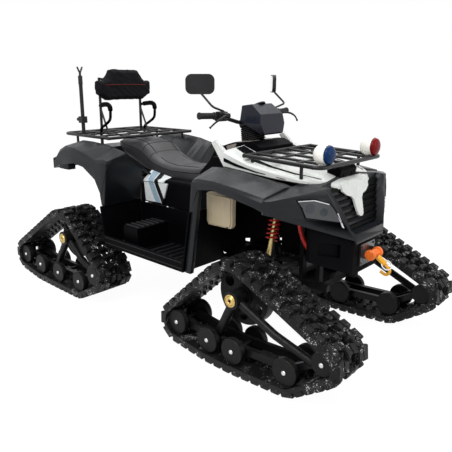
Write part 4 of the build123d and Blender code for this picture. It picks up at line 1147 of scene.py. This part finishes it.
def make_side_boxes():
    """Pale boxes with a raised lid edge, ribs and dark clips."""
    shape = Shape()
    x0, x1, z0, z1 = 0.452, 0.638, 0.689, 0.870
    y_face, y_back = -0.4495, -0.4135
    body = [(x0, z0 + 0.02), (x0 + 0.012, z0), (x1 - 0.012, z0 + 0.004), (x1, z0 + 0.022), (x1, z1 - 0.006),
            (x1 - 0.008, z1), (x0 + 0.008, z1), (x0, z1 - 0.008)]
    centre = ((x0 + x1) / 2, (z0 + z1) / 2)
    rings = []
    for y, inset in ((y_back, 0.0), (y_face + 0.008, 0.0), (y_face + 0.008, 0.009), (y_face, 0.012)):
        inner = [toward(point, centre, inset) for point in body]
        rings.append([(x, y, z) for x, z in inner])
    shape.prism(rings)
    for x, z in ((x0 + 0.012, z0 + 0.055), (x0 + 0.016, z0 + 0.016), (x1 - 0.035, z0 + 0.010)):
        shape.lathe([(0, 0.0), (0, 0.006), (-0.003, 0.006), (-0.004, 0.004), (-0.004, 0.0)],
                    (x, y_face + 0.008, z), (0, 1, 0), 14, 1)
    for k in range(4):
        left = x0 + 0.04 + k * 0.034
        low, high = z0 + 0.03, z1 - 0.025
        rib = ((left, low), (left + 0.004, low), (left + 0.004, high), (left, high))
        shape.prism([[(x, y, z) for x, z in rib] for y in (y_face + 0.002, y_face - 0.0012)])
    shape.add_left()
    place_piece("side_box_shells", shape, ["box_beige", "black_plastic"], ["side_boxes"], rounding=0.0025)


def make_beacons():
    """Ball housings with a rim and a stand, and fluted domed lenses."""
    housing = Shape()
    centre = Vector((1.041, -0.232, 1.082 + RISE))
    turns = [math.radians(a) for a in range(-90, 24, 6)]
    ball = [(0.054 * math.sin(turn), 0.0538 * math.cos(turn)) for turn in turns]
    ball += [(0.0218, 0.0492), (0.0235, 0.0492), (0.0235, 0.0452), (0.018, 0.0452), (0.018, 0.0)]
    housing.lathe(ball, centre, (1, 0, 0), 48)
    housing.tube([centre + Vector((-0.012, 0, -0.030)), centre + Vector((-0.012, 0, -0.072))], 0.010, 14)
    housing.lathe([(0, 0.0), (0, 0.017), (0.005, 0.017), (0.007, 0.012), (0.007, 0.0)],
                  centre + Vector((-0.012, 0, -0.058)), (0, 0, 1), 20)
    housing.add_left()
    place_piece("beacon_balls", housing, ["beacon_white"], ["beacon_housings"])
    steps = 96
    for suffix, colour, side in (("right", "blue", 1), ("left", "red", -1)):
        lens = Shape()
        rings = []
        for out, radius in (
            (0.0, 0.0462), (0.009, 0.0460), (0.0165, 0.0430), (0.0220, 0.036), (0.0255, 0.026),
            (0.0275, 0.014), (0.0280, 0.002),
        ):
            ring = []
            for k in range(steps):
                turn = 2 * math.pi * k / steps
                flute = 1 + (0.012 if k % 4 in (1, 2) else -0.012) * (1 if 0.010 < radius < 0.044 else 0)
                ring.append((centre.x + 0.0222 + out, side * (centre.y + math.cos(turn) * radius * flute),
                             centre.z + math.sin(turn) * radius * flute))
            rings.append(ring)
        lens.prism(rings)
        place_piece("beacon_glass_" + suffix, lens, ["lens_" + colour], ["beacon_lens_" + colour], 40)


BOOT_FOLDS = 7


def make_underbody():
    """Skid plate between the rails, and the rubber boots of the drive shafts."""
    shape = Shape()
    outline = [(0.30, -0.130), (0.30, 0.130), (1.02, 0.130), (1.02, -0.130)]
    shape.prism([[(x, y, z) for x, y in outline] for z in (0.376, 0.380)])
    place_piece("skid_plate", shape, ["chassis_steel"], rounding=0.001)
    boots = Shape()
    for x in (UNITS["front"][0], UNITS["rear"][0]):
        low, high = Vector((x, -0.345, 0.4035)), Vector((x, -0.265, 0.4130))
        way = high - low
        profile = [(0.0, 0.0155)]
        for k in range(BOOT_FOLDS):
            at = way.length * (k + 0.5) / BOOT_FOLDS
            size = 0.042 - 0.0035 * k
            profile += [(at - 0.003, size), (at + 0.002, size - 0.010)]
        profile.append((way.length, 0.0155))
        boots.lathe(profile, low, way, 28)
    boots.add_left()
    place_piece("shaft_boots", boots, ["control_rubber"])


make_seat_base()
make_armrests()
make_rack_box()
make_controls()
make_side_boxes()
make_beacons()
make_underbody()


def make_hood_seals():
    """Dark seals that close the gap between the hood and the fenders."""
    shape = Shape()
    rings = []
    for x, inner, outer, z in (
        (560, 312, 348, 950), (745, 312, 346, 936), (880, 300, 338, 918), (934, 288, 338, 908),
        (985, 262, 345, 904), (1040, 214, 318, 900), (1075, 150, 280, 897),
    ):
        rings.append(right_section(x, [(inner, z), (outer, z), (outer, z + 8), (inner, z + 8)]))
    shape.prism(rings)
    shape.add_left()
    place_piece("hood_seals", shape, ["black_plastic"])


# Right half of the centre shield's outline
NOSE_SHIELD = [
    (0, 934), (40, 932), (66, 922), (118, 938), (134, 926), (130, 890), (96, 868), (58, 858), (40, 838),
    (30, 786), (22, 760), (10, 752), (0, 751),
]


def grille_front(z, out):
    """Place of the leaning grille opening at a height, out from its floor."""
    return 1060 + (940 - z) * 0.306 + out


def make_shield():
    """White centre shield with a softened edge."""
    outline = NOSE_SHIELD + [(-y, z) for y, z in NOSE_SHIELD[-2:0:-1]]
    shape = Shape()
    rings = []
    for out, inset in ((12.2, 0.0), (23.6, 0.0), (25.2, 1.6)):
        inner = [toward(point, (0, 880), inset) for point in outline]
        rings.append([(grille_front(z, out) * MM, y * MM, z * MM + RISE) for y, z in inner])
    shape.prism(rings)
    place_piece("nose_shield", shape, ["body_white"], ["nose_panel"], 25)


GLASS_CORNER = 0.030


def make_mirror_glass():
    """Silvered glass on the rider's side of each mirror head."""
    shape = Shape()
    for side in (-1, 1):
        centre = Vector((0.296, side * 0.330, 1.409 + RISE))
        facing = Vector((-0.73, -side * 0.68, 0)).normalized()
        across = Vector((0.68, -side * 0.73, 0)).normalized()
        rings = []
        for out, grow in ((0.0112, 0.0), (0.0122, 0.0), (0.0126, -0.004)):
            ring = []
            for corner_x, corner_z, start in ((1, 1, 0), (-1, 1, 90), (-1, -1, 180), (1, -1, 270)):
                for k in range(7):
                    turn = math.radians(start + 15 * k)
                    u = corner_x * (0.074 - GLASS_CORNER) + (GLASS_CORNER + grow) * math.cos(turn)
                    w = corner_z * (0.048 - GLASS_CORNER) + (GLASS_CORNER + grow) * math.sin(turn)
                    ring.append(centre + facing * out + across * u + Vector((0, 0, w)))
            rings.append(ring)
        shape.prism(rings)
    place_piece("mirror_glass", shape, ["mirror_silver"], crease=30, body="steering")


def make_footwell_details():
    """Ribs on the foot boards and the steps, and beads along the sills, in a lighter finish that paints in
    the light on the boards.
    """
    shape = Shape()
    for x in range(-300, 261, 56):
        inner = -520 if -225 < x < -60 else -268
        shape.prism(slab([(x, 412), (x + 10, 412), (x + 7, 417), (x + 3, 417)], -555, inner))
    for z in (420, 455):
        bead = [(573.2, z), (573.2, z + 6), (575.5, z + 4), (575.5, z + 2)]
        shape.prism([right_section(x, bead) for x in (-335, 385)])
    for y in range(-500, -299, 40):
        rib = [(y, 549.5), (y + 18, 549.5), (y + 15, 554.5), (y + 3, 554.5)]
        shape.prism([section(x, rib) for x in (-208, -82)])
    shape.add_left()
    # The lighter control rubber, instead of the footwells' black plastic, is painted light: it brightens the
    # boards where light falls
    place_piece("board_ribs_painted_light", shape, ["control_rubber"], rounding=0.0008)


def make_pod_details():
    """Dial face with a rim and key switch on the instrument pod."""
    shape = Shape()
    centre, normal = Vector((0.440, 0, 1.262 + RISE + 0.026)), Vector((-0.55, 0, 1)).normalized()
    rim = [(0.0, 0.046), (0.006, 0.047), (0.009, 0.044), (0.009, 0.040), (0.004, 0.038), (0.004, 0.0)]
    shape.lathe(rim, centre - normal * 0.004, normal, 48)
    shape.lathe([(0.0042, 0.0375), (0.0052, 0.0370), (0.0052, 0.0)], centre - normal * 0.004, normal, 48, 1)
    key = [(0.0, 0.010), (0.006, 0.010), (0.007, 0.008), (0.007, 0.0)]
    shape.lathe(key, (0.408, -0.062, 1.278 + RISE), normal, 24)
    place_piece("pod_dial", shape, ["pod_black", "lamp_smoke"], crease=30, body="steering")


def make_liners():
    """Inner splash liners of the front wheel arches, with the opening beside the shock absorber."""
    shape = Shape()
    for outline in (
        [(290, 395), (470, 395), (470, 900), (350, 900)],
        [(470, 520), (690, 570), (690, 900), (470, 900)],
        [(690, 606), (735, 610), (735, 880), (690, 880)],
        [(735, 500), (1030, 500), (1030, 860), (735, 880)],
        [(690, 545), (735, 545), (735, 562), (690, 570)],
    ):
        shape.prism(slab(outline, -128.5, -131.5))
    shape.add_left()
    place_piece("arch_liners", shape, ["black_plastic"])


def make_column_cover():
    """Rubber gaiter and cover round the steering column, turned about the steering axis."""
    shape = Shape()
    axis = Vector((-0.3275, 0, 0.9448))
    foot = Vector((0.64, 0, 0.452)) + axis * 0.690
    profile = [(0.0, 0.0), (0.0, 0.060)]
    for k in range(8):
        at, size = 0.004 + k * 0.011, 0.074 - 0.002 * k
        profile += [(at, size), (at + 0.004, size), (at + 0.007, 0.064 - 0.002 * k)]
    profile += [(0.096, 0.060), (0.120, 0.062), (0.128, 0.054), (0.128, 0.0)]
    shape.lathe(profile, foot, axis, 40)
    place_piece("column_cover", shape, ["control_rubber"], crease=40, body="steering")


make_hood_seals()
make_shield()
make_mirror_glass()
make_footwell_details()
make_pod_details()
make_liners()
make_column_cover()


def seen_directly(tree):
    """1 for what the camera sees, also in reflections and through glass, and 0 for light."""
    path = add_node(tree, "LightPath")
    seen = math_node(tree, "MAXIMUM", path.outputs["Is Camera Ray"], path.outputs["Is Glossy Ray"])
    return math_node(tree, "MAXIMUM", seen, path.outputs["Is Transmission Ray"])


FLOOR_SIZE = 40


def make_stage():
    """Pale floor that keeps the shadow, and white surroundings."""
    mesh = bpy.data.meshes.new("floor")
    corners = [(x * FLOOR_SIZE, y * FLOOR_SIZE, 0) for x, y in ((-1, -1), (1, -1), (1, 1), (-1, 1))]
    mesh.from_pydata(corners, [], [(0, 1, 2, 3)])
    floor = add_object("floor", mesh)
    mat = bpy.data.materials.new("floor")
    mat.use_nodes = True
    tree = mat.node_tree
    tree.nodes.clear()
    diffuse = add_node(tree, "BsdfDiffuse", {"Color": (0.92, 0.92, 0.92, 1)})
    glow = add_node(tree, "Emission", {"Strength": 1.09})
    blend = add_node(tree, "MixShader")
    tree.links.new(math_node(tree, "MULTIPLY", seen_directly(tree), 0.88), blend.inputs["Fac"])
    tree.links.new(diffuse.outputs[0], blend.inputs[1])
    tree.links.new(glow.outputs[0], blend.inputs[2])
    tree.links.new(blend.outputs[0], add_node(tree, "OutputMaterial").inputs["Surface"])
    mesh.materials.append(mat)

    world = bpy.data.worlds.new("studio")
    bpy.context.scene.world = world
    world.use_nodes = True
    tree = world.node_tree
    tree.nodes.clear()
    background = add_node(tree, "Background", {"Color": (1, 1, 1, 1)})
    tree.links.new(ramp(tree, seen_directly(tree), 0.0, 1.0, 0.45, 1.0), background.inputs["Strength"])
    tree.links.new(background.outputs[0], add_node(tree, "OutputWorld").inputs["Surface"])


def add_light(name, place, target, size, power):
    """Soft square lamp aimed at a point."""
    data = bpy.data.lights.new(name, "AREA")
    data.shape = "SQUARE"
    data.size = size
    data.energy = power
    lamp = add_object(name, data)
    lamp.location = place
    lamp.rotation_euler = (Vector(target) - Vector(place)).to_track_quat("-Z", "Y").to_euler()


def make_camera():
    """Camera at the photograph's viewing angle."""
    azimuth, elevation, distance = math.radians(43.1), math.radians(15.1), 3.4716
    target = Vector((0.0822, 0.0396, 0.5409))
    back = Vector((
        math.cos(elevation) * math.sin(azimuth),
        -math.cos(elevation) * math.cos(azimuth),
        math.sin(elevation),
    ))
    data = bpy.data.cameras.new("camera")
    data.sensor_width = 36
    data.lens = 41.29
    data.shift_x = 0.0188
    data.shift_y = -0.0104
    camera = add_object("camera", data)
    camera.location = target + back * distance
    camera.rotation_euler = (-back).to_track_quat("-Z", "Y").to_euler()
    bpy.context.scene.camera = camera


make_stage()
add_light("key", (1.5, -3.5, 4.5), (0.1, 0, 0.6), 3.0, 190)
add_light("top", (-0.5, 1.0, 5.0), (0, 0, 0.6), 4.0, 160)
add_light("side", (4.5, 1.0, 2.2), (0.3, 0, 0.6), 2.5, 35)
make_camera()

bpy.context.scene.view_settings.view_transform = "Standard"
